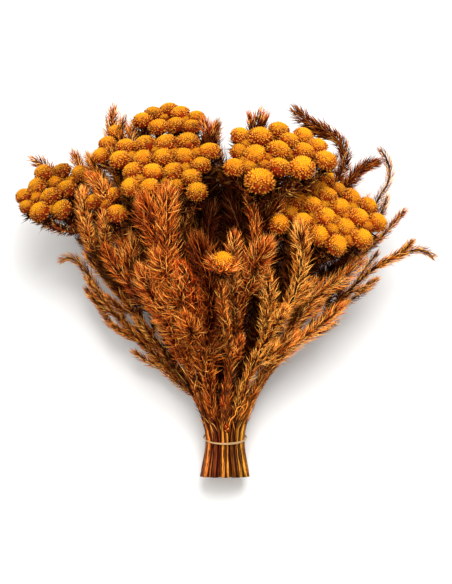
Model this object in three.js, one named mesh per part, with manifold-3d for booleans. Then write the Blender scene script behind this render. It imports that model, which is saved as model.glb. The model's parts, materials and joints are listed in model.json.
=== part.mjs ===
// Dried brunia: a hand-tied bunch of leafy stems with button-like flower heads, lying on its back.
// Millimetres. X runs across the bunch, Y from the cut ends to the flowers, Z up from the table.
// Nineteen woody stems pass through one elastic band. They carry needle-leaved shoots, and the
// flowering ones end in a corymb: round heads, each on its own stalk, grown as one body.
import * as THREE from 'three';
import { mergeVertices } from 'three/addons/utils/BufferGeometryUtils.js';
import Module from 'manifold-3d';

const wasm = await Module();
wasm.setup();

// Driving dimensions.
const GAP = 0.3;
const WOOD_RADIUS = 2.6;
const WOOD_TOP_RADIUS = 1.95;
const LEADER_RADIUS = 1.5;
const SHOOT_RADIUS = 1.25;
const SHOOT_TIP_RADIUS = 0.75;
const STALK_RADIUS = { foot: 0.5, top: 1.05 };
const KNOB_RADIUS = 2.9;
const WOOD_SIDES = 6;
const SHOOT_SIDES = 3;
const SHOOT_STEP = 14;
const NEEDLE = {
  usual: 9.5, shortest: 0.88, longest: 1.12, lift: 0.55, liftSpread: 0.08, sway: 0.22, tip: 0.22,
  root: 0.9, tightBend: 0.3, bendShare: 0.5, samples: 12,
};
const LEAF_START = 54;
const NEEDLE_TRIES = [1, 0.75, 0.55, 0.4];
const TIP_POINT = 3.75;
const TABLE = [600, 600, 100];
const SEED_STEP = 100;
const FLORET_DEPTH = 0.17;

// The band, and how the stems pass through it.
const TIE = { y: 26, z: 19.5, tilt: 0.26, width: 1.5, thick: 0.9, clear: 0.45, steps: 28 };
const CUT = { z: 15.8, spread: 1.3 };
const NECK = { y: 50, z: 26, spread: 1.65 };
const RINGS = { outer: 10.65, inner: 4.75 };

const GOLD = 0xc98a2a;
const ORANGE = 0xb2621c;
const RUST = 0x96451a;
const OLIVE = 0x75511f;
const HEAD_OCHRE = 0xd08a1e;
const BAND_TAN = 0xd9c49a;
const ROUGH = { stems: 0.85, heads: 0.9, band: 0.6 };

// Each stem: its place in the band (ring, degrees from +X towards +Z), its colour, the points that
// it passes above the neck, and its side shoots, each with the share of the stem where it starts.
// needle is the length of its needles, where they aren't of the usual length.
const STEMS = {
  stem_right_curled: {
    ring: 'outer', turn: 0, colour: GOLD, needle: 6.5,
    way: [[34, 76, 33], [55, 97, 41], [72, 114, 49], [85, 127, 56], [97, 138, 61], [110, 144, 65],
      [121, 149, 67], [129, 149, 67], [135, 145, 66]],
    shoots: [
      { from: 0.79, way: [[115, 149, 69], [121, 155, 73]] },
      { from: 0.5, way: [[84, 118, 44], [95, 125, 44]] },
    ],
  },
  stem_right_orange: {
    ring: 'outer', turn: 30, colour: ORANGE, needle: 8.5,
    way: [[30, 78, 50], [46, 104, 66], [61, 122, 80], [75, 130, 87], [87, 142, 91]],
    shoots: [
      { from: 0.42, way: [[50, 92, 60], [64, 102, 66], [75, 113, 71]] },
    ],
  },
  stem_front_right: {
    ring: 'outer', turn: 60, colour: ORANGE, needle: 11,
    way: [[18, 74, 57], [29, 95, 74], [41, 114, 92], [47, 128, 103], [49, 142, 112], [48, 155, 119],
      [47, 164, 122]],
    shoots: [
      { from: 0.5, way: [[28, 122, 98], [23, 141, 108]] },
    ],
  },
  stem_front: {
    ring: 'outer', turn: 90, colour: ORANGE, needle: 10.5,
    way: [[3, 74, 58], [9, 105, 82], [15, 130, 99], [19, 150, 109], [19, 166, 115], [15, 183, 119]],
    shoots: [
      { from: 0.62, way: [[20, 140, 110], [26, 151, 117]] },
      { from: 0.52, way: [[5, 128, 104], [5, 144, 113], [6, 157, 117]] },
      { from: 0.4, way: [[0, 106, 94], [-2, 120, 105], [-1, 129, 110]], flowers: 'heads_front_small' },
    ],
  },
  stem_front_left: {
    ring: 'outer', turn: 120, colour: GOLD, needle: 12,
    way: [[-13, 74, 57], [-22, 100, 78], [-32, 124, 97], [-37, 146, 112], [-39, 166, 121],
      [-37, 184, 127]],
    shoots: [
      { from: 0.72, way: [[-45, 162, 121], [-51, 178, 127]] },
      { from: 0.42, way: [[-17, 108, 90], [-21, 124, 102], [-28, 139, 112]] },
      { from: 0.38, way: [[-9, 110, 92], [-11, 132, 103], [-18, 154, 112]] },
    ],
  },
  stem_left_rosette: {
    ring: 'outer', turn: 150, colour: ORANGE, needle: 10,
    way: [[-24, 72, 49], [-35, 94, 62], [-48, 116, 73], [-58, 138, 79], [-66, 156, 82]],
    flowers: 'heads_left_small',
    shoots: [
      { from: 0.42, way: [[-37, 104, 80], [-45, 119, 92], [-52, 134, 100]] },
      { from: 0.66, way: [[-67, 134, 85], [-76, 149, 90]] },
      { from: 0.36, way: [[-28, 94, 70], [-34, 112, 82], [-39, 122, 88]] },
    ],
  },
  stem_far_left: {
    ring: 'outer', turn: 180, colour: OLIVE, needle: 8.5,
    way: [[-31, 71, 32], [-47, 92, 40], [-62, 111, 48], [-76, 131, 55], [-84, 146, 61],
      [-93, 161, 66]],
    flowers: 'heads_far_left',
    shoots: [
      { from: 0.78, way: [[-84, 150, 74], [-90, 164, 84]] },
      { from: 0.86, way: [[-104, 182, 48], [-113, 200, 50], [-124, 208, 52]] },
      { from: 0.86, way: [[-89, 178, 50], [-93, 198, 48], [-98, 211, 50]] },
    ],
  },
  stem_left_low: {
    ring: 'outer', turn: 210, colour: OLIVE, needle: 7,
    way: [[-33, 68, 22], [-49, 83, 26], [-63, 97, 30], [-74, 110, 34], [-82, 121, 37],
      [-88, 131, 40], [-95, 141, 42], [-102, 145, 43], [-107, 143, 43]],
    shoots: [
      { from: 0.56, way: [[-74, 100, 28], [-82, 112, 28], [-91, 124, 30]] },
      { from: 0.42, way: [[-56, 90, 34], [-66, 102, 38]] },
    ],
  },
  stem_rear_left: {
    ring: 'outer', turn: 240, colour: RUST,
    way: [[-17, 84, 14], [-29, 112, 17], [-40, 140, 21]],
    flowers: 'heads_rear_left',
    shoots: [
      { from: 0.6, way: [[-46, 126, 12], [-62, 144, 10], [-74, 160, 12]] },
    ],
  },
  stem_rear: {
    ring: 'outer', turn: 270, colour: OLIVE,
    way: [[1, 88, 14], [3, 130, 21], [5, 172, 33]],
    flowers: 'heads_rear',
    shoots: [
      { from: 0.55, way: [[9, 126, 10], [16, 148, 9], [20, 168, 14]] },
      { from: 0.75, way: [[18, 176, 24], [24, 196, 26], [28, 214, 32]] },
    ],
  },
  stem_rear_right: {
    ring: 'outer', turn: 300, colour: RUST,
    way: [[17, 84, 14], [29, 112, 17], [39, 140, 21]],
    flowers: 'heads_rear_right',
    shoots: [
      { from: 0.6, way: [[46, 126, 12], [62, 142, 10], [76, 158, 12]] },
    ],
  },
  stem_right_tall: {
    ring: 'outer', turn: 330, colour: GOLD, needle: 7.5,
    way: [[37, 82, 22], [60, 116, 30], [80, 146, 41], [93, 169, 51], [101, 185, 56], [107, 195, 58],
      [106, 207, 58], [101, 215, 57]],
    shoots: [
      { from: 0.62, way: [[97, 153, 45], [108, 165, 49], [117, 175, 51]] },
      { from: 0.74, way: [[100, 170, 60], [105, 184, 66]] },
    ],
  },
  stem_right_flowering: {
    ring: 'inner', turn: 15, colour: ORANGE,
    way: [[18, 80, 41], [32, 112, 56], [45, 136, 68], [55, 151, 76]],
    flowers: 'heads_right_lower',
    shoots: [
      { from: 0.7, way: [[58, 138, 78], [72, 146, 86], [84, 146, 92]] },
      { from: 0.8, way: [[66, 148, 68], [86, 160, 72], [99, 176, 76]] },
    ],
  },
  stem_front_flowering: {
    ring: 'inner', turn: 75, colour: RUST, needle: 9.5,
    way: [[6, 80, 46], [14, 115, 64], [23, 150, 82], [30, 181, 95]],
    flowers: 'heads_right_centre',
    shoots: [
      { from: 0.6, way: [[14, 146, 90], [8, 166, 96], [2, 182, 98]] },
    ],
  },
  stem_mid_left_flowering: {
    ring: 'inner', turn: 135, colour: ORANGE, needle: 11,
    way: [[-12, 80, 45], [-20, 112, 61], [-28, 145, 76], [-34, 174, 88]],
    flowers: 'heads_mid_left',
    shoots: [
      { from: 0.55, way: [[-16, 138, 84], [-12, 158, 94], [-8, 176, 98]] },
      { from: 0.68, way: [[-44, 154, 90], [-54, 172, 98]] },
    ],
  },
  stem_top_left: {
    ring: 'inner', turn: 195, colour: GOLD,
    way: [[-22, 85, 35], [-38, 120, 45], [-53, 158, 56], [-66, 194, 65]],
    flowers: 'heads_top_left',
    shoots: [
      { from: 0.84, way: [[-66, 192, 52], [-74, 216, 54], [-73, 240, 55]] },
      { from: 0.88, way: [[-60, 204, 68], [-62, 226, 68]] },
    ],
  },
  stem_back_left: {
    ring: 'inner', turn: 255, colour: OLIVE,
    way: [[-8, 90, 25], [-17, 130, 33], [-25, 170, 40], [-30, 204, 46]],
    flowers: 'heads_back_left',
    shoots: [
      { from: 0.76, way: [[-42, 192, 38], [-54, 214, 40], [-60, 230, 44]] },
      { from: 0.66, way: [[-14, 182, 44], [-10, 206, 48], [-6, 226, 52]] },
    ],
  },
  stem_right_hook: {
    ring: 'inner', turn: 315, colour: RUST, needle: 8,
    way: [[18, 90, 27], [36, 130, 35], [54, 164, 43], [68, 188, 49], [77, 203, 53], [77, 216, 55],
      [70, 224, 56], [60, 230, 57], [52, 234, 58], [46, 240, 59]],
    shoots: [
      { from: 0.88, way: [[58, 228, 50], [51, 225, 46]] },
      { from: 0.68, way: [[80, 192, 59], [88, 202, 65], [98, 206, 67]] },
      { from: 0.6, way: [[48, 184, 36], [44, 204, 38], [40, 222, 44]] },
    ],
  },
  stem_centre: {
    ring: 'centre', turn: 0, colour: ORANGE,
    way: [[2, 90, 39], [5, 130, 52], [10, 172, 64], [16, 208, 73], [20, 226, 77], [23, 237, 79]],
    shoots: [
      { from: 0.7, way: [[2, 196, 70], [-8, 218, 74], [-13, 231, 76]] },
      { from: 0.5, way: [[-6, 146, 68], [-10, 170, 76]] },
    ],
  },
};

// Each corymb: its colour is the same for all. Heads that the eye sees are placed one by one as
// [x, y, radius], and z follows the corymb's own tilted, domed disc. Hidden ones follow a spiral.
const CORYMBS = {
  heads_far_left: {
    disc: { x: -113, y: 187, z: 74, tilt: -0.9, dome: 0.006 },
    heads: [[-129, 184, 5.2], [-120, 174, 6.5], [-122, 190, 5.9], [-116, 199, 5.9],
      [-106, 200, 5.9], [-96, 199, 5.9], [-112, 183, 6.8], [-127, 177, 4.8], [-105, 175, 6.5],
      [-103, 188, 6.2]],
  },
  heads_back_left: {
    disc: { x: -35, y: 234, z: 54, tilt: -1.6, dome: 0.004 },
    heads: [[-53, 234, 5.9], [-46, 238, 6.2], [-37, 240, 6.2], [-28, 238, 5.9], [-21, 236, 5.5],
      [-42, 229, 6.2], [-32, 230, 6.2], [-23, 229, 5.5]],
  },
  heads_mid_left: {
    disc: { x: -38, y: 200, z: 106, tilt: -1.05, dome: 0.008 },
    heads: [[-67, 207, 6.5], [-63, 215, 6.2], [-51, 216, 6.8], [-38, 217, 6.8], [-25, 218, 7.2],
      [-10, 212, 6.8], [-52, 207, 6.2], [-57, 199, 6.5], [-40, 208, 6.5], [-26, 208, 6.5],
      [-16, 203, 6.2], [-46, 198, 6.8], [-33, 198, 6.5], [-23, 195, 6.2], [-18, 186, 6.5],
      [-59, 189, 6.2], [-48, 188, 6.5]],
  },
  heads_left_small: {
    disc: { x: -75, y: 181, z: 90, tilt: -0.9, dome: 0.004 },
    heads: [[-84, 180, 5.9], [-73, 184, 5.9], [-69, 172, 6.5], [-80, 190, 5.4]],
  },
  heads_top_left: {
    disc: { x: -75, y: 218, z: 72, tilt: -0.9, dome: 0.004 },
    heads: [[-76, 218, 5.4], [-80, 210, 5.2], [-71, 226, 4.8]],
  },
  heads_right_centre: {
    disc: { x: 33, y: 206, z: 113, tilt: -1.05, dome: 0.008 },
    heads: [[10, 222, 6.2], [23, 221, 7.8], [34, 225, 6.5], [41, 218, 6.2], [49, 221, 6.5],
      [20, 209, 7.4], [35, 213, 7.2], [50, 211, 6.8], [59, 215, 6.2], [6, 201, 6.8],
      [34, 201, 7.2], [49, 201, 7.8], [64, 206, 6.8], [22, 192, 9.1]],
  },
  heads_right_lower: {
    disc: { x: 68, y: 172, z: 93, tilt: -0.85, dome: 0.008 },
    heads: [[45, 190, 6.2], [56, 191, 6.2], [64, 196, 5.9], [46, 180, 6.5], [37, 177, 5.9],
      [55, 178, 6.2], [66, 184, 6.2], [34, 166, 7.2], [65, 170, 6.8], [74, 176, 6.2],
      [82, 182, 6.2], [91, 178, 5.9], [86, 169, 6.5], [77, 163, 6.5], [97, 167, 6.2],
      [60, 158, 6.8], [71, 152, 6.8], [87, 156, 6.8], [50, 167, 6.2]],
  },
  heads_front_small: {
    disc: { x: -1, y: 141, z: 118, tilt: 0, dome: 0 },
    heads: [[-1, 141, 5.4]],
  },
  heads_rear_left: {
    centre: [-50, 168, 25], facing: [-0.33, 0.94, 0.1], count: 7, reach: 19, rests: true,
  },
  heads_rear: { centre: [6, 203, 42], facing: [0, 0.97, 0.2], count: 7, reach: 19 },
  heads_rear_right: {
    centre: [48, 168, 25], facing: [0.3, 0.94, 0.1], count: 7, reach: 19, rests: true,
  },
};
const HIDDEN_HEADS = { radius: 6.2, smaller: 0.7, firstReach: 0.35, droop: 0.012 };
const HEAD_SPREAD = { rounds: 80, room: 0.15, roomBetweenCorymbs: 1.15, across: 0.5 };
const REST_DEPTH = 0.9;
const STALK_PARTS = 2;
const GOLDEN_ANGLE = Math.PI * (3 - Math.sqrt(5));

// How the routes are settled: points a step apart, pushed clear of other stems, heads and table.
const CURVE_DETAIL = 24;
const STALK_BEND = 0.5;
const ROUTE = {
  step: 6, rounds: 60, leafRoom: 1.1, woodRoom: 0.4, woodEnd: 64, bound: 58, loosen: 26,
  rootSteps: 2, topSteps: 3, floor: 1.2, tiny: 0.001,
};

const vector = ([x, y, z]) => new THREE.Vector3(x, y, z);
const degrees = THREE.MathUtils.degToRad;
const mix = THREE.MathUtils.lerp;

// A repeatable stream of numbers from 0 to 1.
function numbersFrom(seed) {
  let state = seed >>> 0;
  return () => {
    state = (Math.imul(state, 1664525) + 1013904223) >>> 0;
    return state / 4294967296;
  };
}

// The smooth curve through some points, as points an even step apart.
function evenPoints(through, step) {
  const curve = new THREE.CatmullRomCurve3(through, false, 'catmullrom', 0.5);
  const dense = curve.getPoints((through.length - 1) * CURVE_DETAIL);
  const along = [0];
  for (let i = 1; i < dense.length; i += 1) {
    along.push(along[i - 1] + dense[i].distanceTo(dense[i - 1]));
  }
  const whole = along[along.length - 1];
  const count = Math.max(2, Math.round(whole / step));
  const points = [];
  let k = 0;
  for (let i = 0; i <= count; i += 1) {
    const wanted = (whole * i) / count;
    while (k < dense.length - 2 && along[k + 1] < wanted) k += 1;
    const share = (wanted - along[k]) / (along[k + 1] - along[k]);
    points.push(dense[k].clone().lerp(dense[k + 1], Math.min(1, share)));
  }
  return points;
}

// Where a stem passes a level of the bundle: at the cut, in the band or at the neck.
function placeInBundle(stem, level, tilt) {
  const radius = { outer: RINGS.outer, inner: RINGS.inner, centre: 0 }[stem.ring] * level.spread;
  const across = radius * Math.cos(degrees(stem.turn));
  const up = radius * Math.sin(degrees(stem.turn));
  return new THREE.Vector3(across, level.y - up * Math.sin(tilt), level.z + up * Math.cos(tilt));
}

// The heads of a corymb, as centres and radii.
function headsOf(corymb) {
  if (corymb.heads) {
    const { x, y, z, tilt, dome } = corymb.disc;
    return corymb.heads.map(([hx, hy, radius]) => {
      const height = z + tilt * (hy - y) - dome * ((hx - x) ** 2);
      return { at: new THREE.Vector3(hx, hy, height), radius };
    });
  }
  const facing = vector(corymb.facing).normalize();
  const side = new THREE.Vector3().crossVectors(facing, new THREE.Vector3(0, 0, 1)).normalize();
  const rise = new THREE.Vector3().crossVectors(side, facing);
  const heads = [];
  for (let i = 0; i < corymb.count; i += 1) {
    const reach = corymb.reach * Math.sqrt((i + HIDDEN_HEADS.firstReach) / corymb.count);
    const turn = i * GOLDEN_ANGLE;
    const at = vector(corymb.centre)
      .addScaledVector(side, reach * Math.cos(turn))
      .addScaledVector(rise, reach * Math.sin(turn))
      .addScaledVector(facing, -reach * reach * HIDDEN_HEADS.droop);
    heads.push({ at, radius: HIDDEN_HEADS.radius - (i % 3 === 1 ? HIDDEN_HEADS.smaller : 0) });
  }
  return heads;
}

// Heads pushed apart until none cuts into another, mostly towards or away from the eye above.
function spreadHeads(heads) {
  const away = new THREE.Vector3();
  for (let round = 0; round < HEAD_SPREAD.rounds; round += 1) {
    heads.forEach((one, i) => {
      heads.slice(i + 1).forEach((two) => {
        const room = one.node === two.node ? HEAD_SPREAD.room : HEAD_SPREAD.roomBetweenCorymbs;
        const wanted = one.radius + two.radius + room;
        away.subVectors(one.at, two.at);
        const apart = away.length();
        if (apart >= wanted) return;
        away.multiplyScalar((0.5 * (wanted - apart)) / apart);
        away.x *= HEAD_SPREAD.across;
        away.y *= HEAD_SPREAD.across;
        away.z *= 1 / HEAD_SPREAD.across;
        one.at.add(away);
        two.at.sub(away);
      });
    });
  }
}

// The heads of the whole bunch. Corymbs that rest are let down until their lowest head is on the table.
function allHeads() {
  const heads = Object.entries(CORYMBS)
    .flatMap(([node, corymb]) => headsOf(corymb).map((head) => ({ ...head, node })));
  spreadHeads(heads);
  Object.keys(CORYMBS).filter((node) => CORYMBS[node].rests).forEach((node) => {
    const own = heads.filter((head) => head.node === node);
    const lowest = Math.min(...own.map((head) => head.at.z - head.radius));
    own.forEach((head) => { head.at.z -= lowest + REST_DEPTH; });
  });
  return heads;
}

// A stalk's points: away from the top of its stem, then up into its head from below.
function stalkPoints(base, heading, head) {
  const reach = base.distanceTo(head.at);
  const bend = head.at.clone().addScaledVector(heading, -reach * STALK_BEND);
  return new THREE.QuadraticBezierCurve3(base, bend, head.at).getPoints(STALK_PARTS);
}

// The routes of all stems, shoots and stalks, with the heads, before anything is pushed clear.
function firstRoutes() {
  const routes = [];
  const heads = allHeads();
  const knobs = {};
  const addStalks = (name, way) => {
    const heading = way[way.length - 1].clone().sub(way[way.length - 2]).normalize();
    const base = way[way.length - 1].clone().addScaledVector(heading, KNOB_RADIUS + GAP);
    knobs[name] = base;
    heads.filter((head) => head.node === name).forEach((head) => {
      routes.push({ node: name, kind: 'stalk', points: stalkPoints(base, heading, head) });
    });
  };
  Object.entries(STEMS).forEach(([name, stem]) => {
    const through = [
      placeInBundle(stem, { y: 0, ...CUT }, 0),
      placeInBundle(stem, { spread: 1, ...TIE }, TIE.tilt),
      placeInBundle(stem, NECK, TIE.tilt),
      ...stem.way.map(vector),
    ];
    const main = {
      node: name, kind: 'stem', points: evenPoints(through, ROUTE.step), flowers: stem.flowers,
    };
    routes.push(main);
    if (stem.flowers) addStalks(stem.flowers, stem.way.map(vector));
    stem.shoots.forEach((shoot) => {
      const root = Math.round(shoot.from * (main.points.length - 1));
      const way = shoot.way.map(vector);
      const points = evenPoints([main.points[root], ...way], ROUTE.step);
      routes.push({ node: name, kind: 'shoot', points, parent: main, root, flowers: shoot.flowers });
      if (shoot.flowers) addStalks(shoot.flowers, way);
    });
  });
  return { routes, heads, knobs };
}

// How freely each point of a route may be moved, from 0 to 1.
function looseness(route, i) {
  if (route.kind === 'stalk') return 0;
  const last = route.points.length - 1;
  if (route.kind === 'shoot') {
    return route.flowers && i > last - ROUTE.rootSteps ? 0 : Math.min(1, i / ROUTE.rootSteps);
  }
  const along = i * ROUTE.step;
  const above = Math.min(1, Math.max(0, (along - ROUTE.bound) / ROUTE.loosen));
  const below = route.flowers ? Math.min(1, (last - i) / ROUTE.topSteps) : 1;
  return above * below;
}

// Routes pushed apart little by little, so that no stem or shoot crosses another one or a head.
function settledRoutes() {
  const { routes, heads, knobs } = firstRoutes();
  const spots = [];
  routes.forEach((route) => {
    route.points.forEach((at, i) => {
      const wood = route.kind === 'stem' && i * ROUTE.step < ROUTE.woodEnd;
      const radius = wood ? WOOD_RADIUS : SHOOT_RADIUS;
      const room = wood ? ROUTE.woodRoom : ROUTE.leafRoom;
      spots.push({ at, radius, room, loose: looseness(route, i), route, push: new THREE.Vector3() });
    });
  });
  const away = new THREE.Vector3();
  for (let round = 0; round < ROUTE.rounds; round += 1) {
    spots.forEach((spot) => spot.push.set(0, 0, 0));
    for (let a = 0; a < spots.length; a += 1) {
      const one = spots[a];
      for (let b = a + 1; b < spots.length; b += 1) {
        const two = spots[b];
        if (one.route.node === two.route.node || one.loose + two.loose === 0) continue;
        const wanted = one.radius + two.radius + one.room + two.room;
        away.subVectors(one.at, two.at);
        const apart = away.length();
        if (apart >= wanted) continue;
        const step = (0.5 * (wanted - apart)) / (apart + ROUTE.tiny) / (one.loose + two.loose);
        one.push.addScaledVector(away, step * one.loose);
        two.push.addScaledVector(away, -step * two.loose);
      }
      if (one.loose === 0) continue;
      heads.forEach((head) => {
        const wanted = head.radius + one.radius + one.room;
        away.subVectors(one.at, head.at);
        const apart = away.length();
        if (apart >= wanted || one.route.flowers === head.node) return;
        one.push.addScaledVector(away, (wanted - apart) / (apart + ROUTE.tiny));
      });
      const low = one.radius + ROUTE.floor - one.at.z;
      if (low > 0) one.push.z += low;
    }
    const pushes = spots.map((spot) => spot.push.clone());
    spots.forEach((spot, s) => {
      const before = s > 0 && spots[s - 1].route === spot.route ? pushes[s - 1] : pushes[s];
      const after = s < spots.length - 1 && spots[s + 1].route === spot.route ? pushes[s + 1] : pushes[s];
      const shared = pushes[s].clone().multiplyScalar(0.5).addScaledVector(before, 0.25);
      shared.addScaledVector(after, 0.25);
      spot.at.addScaledVector(shared, spot.loose);
    });
    routes.forEach((route) => {
      if (route.parent) route.points[0].copy(route.parent.points[route.root]);
    });
  }
  return { routes, heads, knobs };
}

// A closed mesh as a solid that can be joined and cut, and back.
function solidOf(geometry) {
  const bare = geometry.clone();
  bare.deleteAttribute('normal');
  bare.deleteAttribute('uv');
  const merged = mergeVertices(bare, 1e-4);
  return new wasm.Manifold(new wasm.Mesh({
    numProp: 3,
    vertProperties: new Float32Array(merged.attributes.position.array),
    triVerts: new Uint32Array(merged.index.array),
  }));
}

function geometryOf(solid) {
  const { vertProperties, triVerts } = solid.getMesh();
  const geometry = new THREE.BufferGeometry();
  geometry.setAttribute('position', new THREE.BufferAttribute(vertProperties, 3));
  geometry.setIndex(new THREE.BufferAttribute(triVerts, 1));
  return geometry;
}

// All solids joined, with loose scraps and sealed hollows left out.
function joined(solids) {
  const whole = solids.reduce((sum, solid) => sum.add(solid));
  return whole.decompose().reduce((best, body) => (body.volume() > best.volume() ? body : best));
}

// What already takes up room: rods with a radius at each end, and the route that each belongs to.
const taken = [];

function take(owner, from, to, fromRadius, toRadius) {
  const middle = from.clone().lerp(to, 0.5);
  const reach = from.distanceTo(to) / 2 + Math.max(fromRadius, toRadius);
  taken.push({ owner, line: new THREE.Line3(from, to), fromRadius, toRadius, middle, reach });
}

// Whether a needle from root to tip would stay clear of all but its own route, and of the table.
function needleFits(owner, root, tip) {
  if (tip.z < NEEDLE.tip + GAP) return false;
  const middle = root.clone().lerp(tip, 0.5);
  const reach = root.distanceTo(tip) / 2 + NEEDLE.root + GAP;
  const near = taken.filter((other) => other.owner !== owner
    && other.middle.distanceTo(middle) < other.reach + reach);
  const spot = new THREE.Vector3();
  const closest = new THREE.Vector3();
  for (let i = 0; i <= NEEDLE.samples; i += 1) {
    const share = i / NEEDLE.samples;
    spot.lerpVectors(root, tip, share);
    const own = mix(NEEDLE.root, NEEDLE.tip, share);
    const clash = near.some((other) => {
      const along = other.line.closestPointToPointParameter(spot, true);
      other.line.at(along, closest);
      return closest.distanceTo(spot) < own + mix(other.fromRadius, other.toRadius, along) + GAP;
    });
    if (clash) return false;
  }
  return true;
}

// A frame across a route at each point, carried along without twisting.
function framesAlong(points) {
  const frames = [];
  points.forEach((at, i) => {
    const before = points[Math.max(0, i - 1)];
    const after = points[Math.min(points.length - 1, i + 1)];
    const tangent = after.clone().sub(before).normalize();
    const last = frames[i - 1]?.side ?? new THREE.Vector3(1, 0, 0);
    const side = last.clone().addScaledVector(tangent, -last.dot(tangent)).normalize();
    frames.push({ at, tangent, side, over: new THREE.Vector3().crossVectors(tangent, side) });
  });
  return frames;
}

// A tapering rod along a route. Each ring is turned half a face from the last, so its skin is all
// triangles, and any of them may be raised to a needle that leans forward.
function rod(owner, points, { radii, sides, startsAtCut, pointed, needlesFrom = Infinity, needle, seed = 0 }) {
  const frames = framesAlong(points);
  const random = numbersFrom(seed);
  const last = frames.length - 1;
  const corner = (i, j) => {
    const { at, tangent, side, over } = frames[i];
    const turn = (Math.PI / sides) * (2 * j + (i % 2));
    const radius = mix(radii[0], radii[1], i / last);
    const out = at.clone()
      .addScaledVector(side, radius * Math.cos(turn))
      .addScaledVector(over, radius * Math.sin(turn));
    if (i === 0 && startsAtCut) out.addScaledVector(tangent, -out.y / tangent.y);
    return out;
  };
  const triangles = [];
  const face = (a, b, c, i) => {
    const root = a.clone().add(b).add(c).divideScalar(3);
    if (i >= needlesFrom) {
      const along = frames[i + 1].at.clone().sub(frames[i].at).normalize();
      const out = root.clone().sub(frames[i].at);
      out.addScaledVector(along, -out.dot(along)).normalize();
      const lift = NEEDLE.lift + NEEDLE.liftSpread * (random() - 0.5);
      const sway = NEEDLE.sway * (random() - 0.5);
      const heading = along.clone().multiplyScalar(Math.cos(lift))
        .addScaledVector(out, Math.sin(lift))
        .addScaledVector(new THREE.Vector3().crossVectors(along, out), sway)
        .normalize();
      const ahead = frames[Math.min(i + 2, last)].at.clone().sub(frames[i + 1].at).normalize();
      const bendShare = ahead.dot(out) > NEEDLE.tightBend ? NEEDLE.bendShare : 1;
      const fullLength = needle * mix(NEEDLE.shortest, NEEDLE.longest, random()) * bendShare;
      const length = NEEDLE_TRIES.map((share) => share * fullLength)
        .find((tryLength) => needleFits(owner, root, root.clone().addScaledVector(heading, tryLength)));
      if (length) {
        const tip = root.clone().addScaledVector(heading, length);
        take(owner, root, tip, NEEDLE.root, NEEDLE.tip);
        triangles.push(a, b, tip, b, c, tip, c, a, tip);
        return;
      }
    }
    triangles.push(a, b, c);
  };
  for (let i = 0; i < last; i += 1) {
    for (let j = 0; j < sides; j += 1) {
      const low = corner(i, j);
      const lowNext = corner(i, j + 1);
      const shift = i % 2;
      const high = corner(i + 1, j + shift);
      const highNext = corner(i + 1, j + shift + 1);
      face(low, lowNext, high, i);
      face(lowNext, highNext, high, i);
    }
  }
  const end = frames[last];
  const crown = end.at.clone().addScaledVector(end.tangent, pointed ? TIP_POINT : 0);
  for (let j = 0; j < sides; j += 1) {
    triangles.push(frames[0].at, corner(0, j + 1), corner(0, j));
    triangles.push(crown, corner(last, j), corner(last, j + 1));
  }
  return solidOf(new THREE.BufferGeometry().setFromPoints(triangles));
}

// A round head of florets on its stalk: every face of a ball is raised to a low bump, but for the
// lowest, which is drawn out along the stalk's route.
function headOnStalk({ at, radius }, points) {
  const ball = new THREE.IcosahedronGeometry(radius * (1 - FLORET_DEPTH / 2), 0).attributes.position;
  const corners = [];
  for (let i = 0; i < ball.count; i += 1) corners.push(new THREE.Vector3().fromBufferAttribute(ball, i));
  const heading = at.clone().sub(points[points.length - 2]).normalize();
  const lowest = corners[0].clone().add(corners[1]).add(corners[2]).normalize();
  const turn = new THREE.Quaternion().setFromUnitVectors(lowest, heading.clone().negate());
  corners.forEach((corner) => corner.applyQuaternion(turn).add(at));
  const triangles = [];
  for (let i = 3; i < corners.length; i += 3) {
    const [a, b, c] = corners.slice(i, i + 3);
    const middle = a.clone().add(b).add(c).divideScalar(3).sub(at).setLength(radius).add(at);
    triangles.push(a, b, middle, b, c, middle, c, a, middle);
  }
  let ring = corners.slice(0, 3);
  const foot = ring[0].clone().add(ring[1]).add(ring[2]).divideScalar(3);
  const spokes = ring.map((corner) => corner.clone().sub(foot).normalize());
  for (let i = points.length - 2; i >= 0; i -= 1) {
    const thick = mix(STALK_RADIUS.foot, STALK_RADIUS.top, i / (points.length - 1));
    const next = spokes.map((spoke) => points[i].clone().addScaledVector(spoke, thick));
    for (let j = 0; j < 3; j += 1) {
      const k = (j + 1) % 3;
      triangles.push(ring[j], ring[k], next[k], ring[j], next[k], next[j]);
    }
    ring = next;
  }
  triangles.push(...ring);
  return solidOf(new THREE.BufferGeometry().setFromPoints(triangles));
}

// The elastic band: a flat ring round the waist of the bundle.
function band() {
  const inner = RINGS.outer + WOOD_RADIUS + TIE.clear;
  const half = TIE.width / 2;
  const profile = [[inner, -half], [inner + TIE.thick, -half], [inner + TIE.thick, half],
    [inner, half], [inner, -half]].map(([x, y]) => new THREE.Vector2(x, y));
  const geometry = new THREE.LatheGeometry(profile, TIE.steps);
  geometry.rotateX(TIE.tilt);
  geometry.translate(0, TIE.y, TIE.z);
  return solidOf(geometry);
}

const { routes, heads, knobs } = settledRoutes();
const table = solidOf(new THREE.BoxGeometry(...TABLE).translate(0, 0, -TABLE[2] / 2));
const bunch = new THREE.Group();

function addPiece(name, solid, colour, roughness) {
  const low = solid.boundingBox().min[2] < 0;
  const geometry = geometryOf(low ? joined([solid.subtract(table)]) : solid);
  const material = new THREE.MeshStandardMaterial({ color: colour, roughness, metalness: 0 });
  const piece = new THREE.Mesh(geometry, material);
  piece.name = name;
  bunch.add(piece);
}

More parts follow.
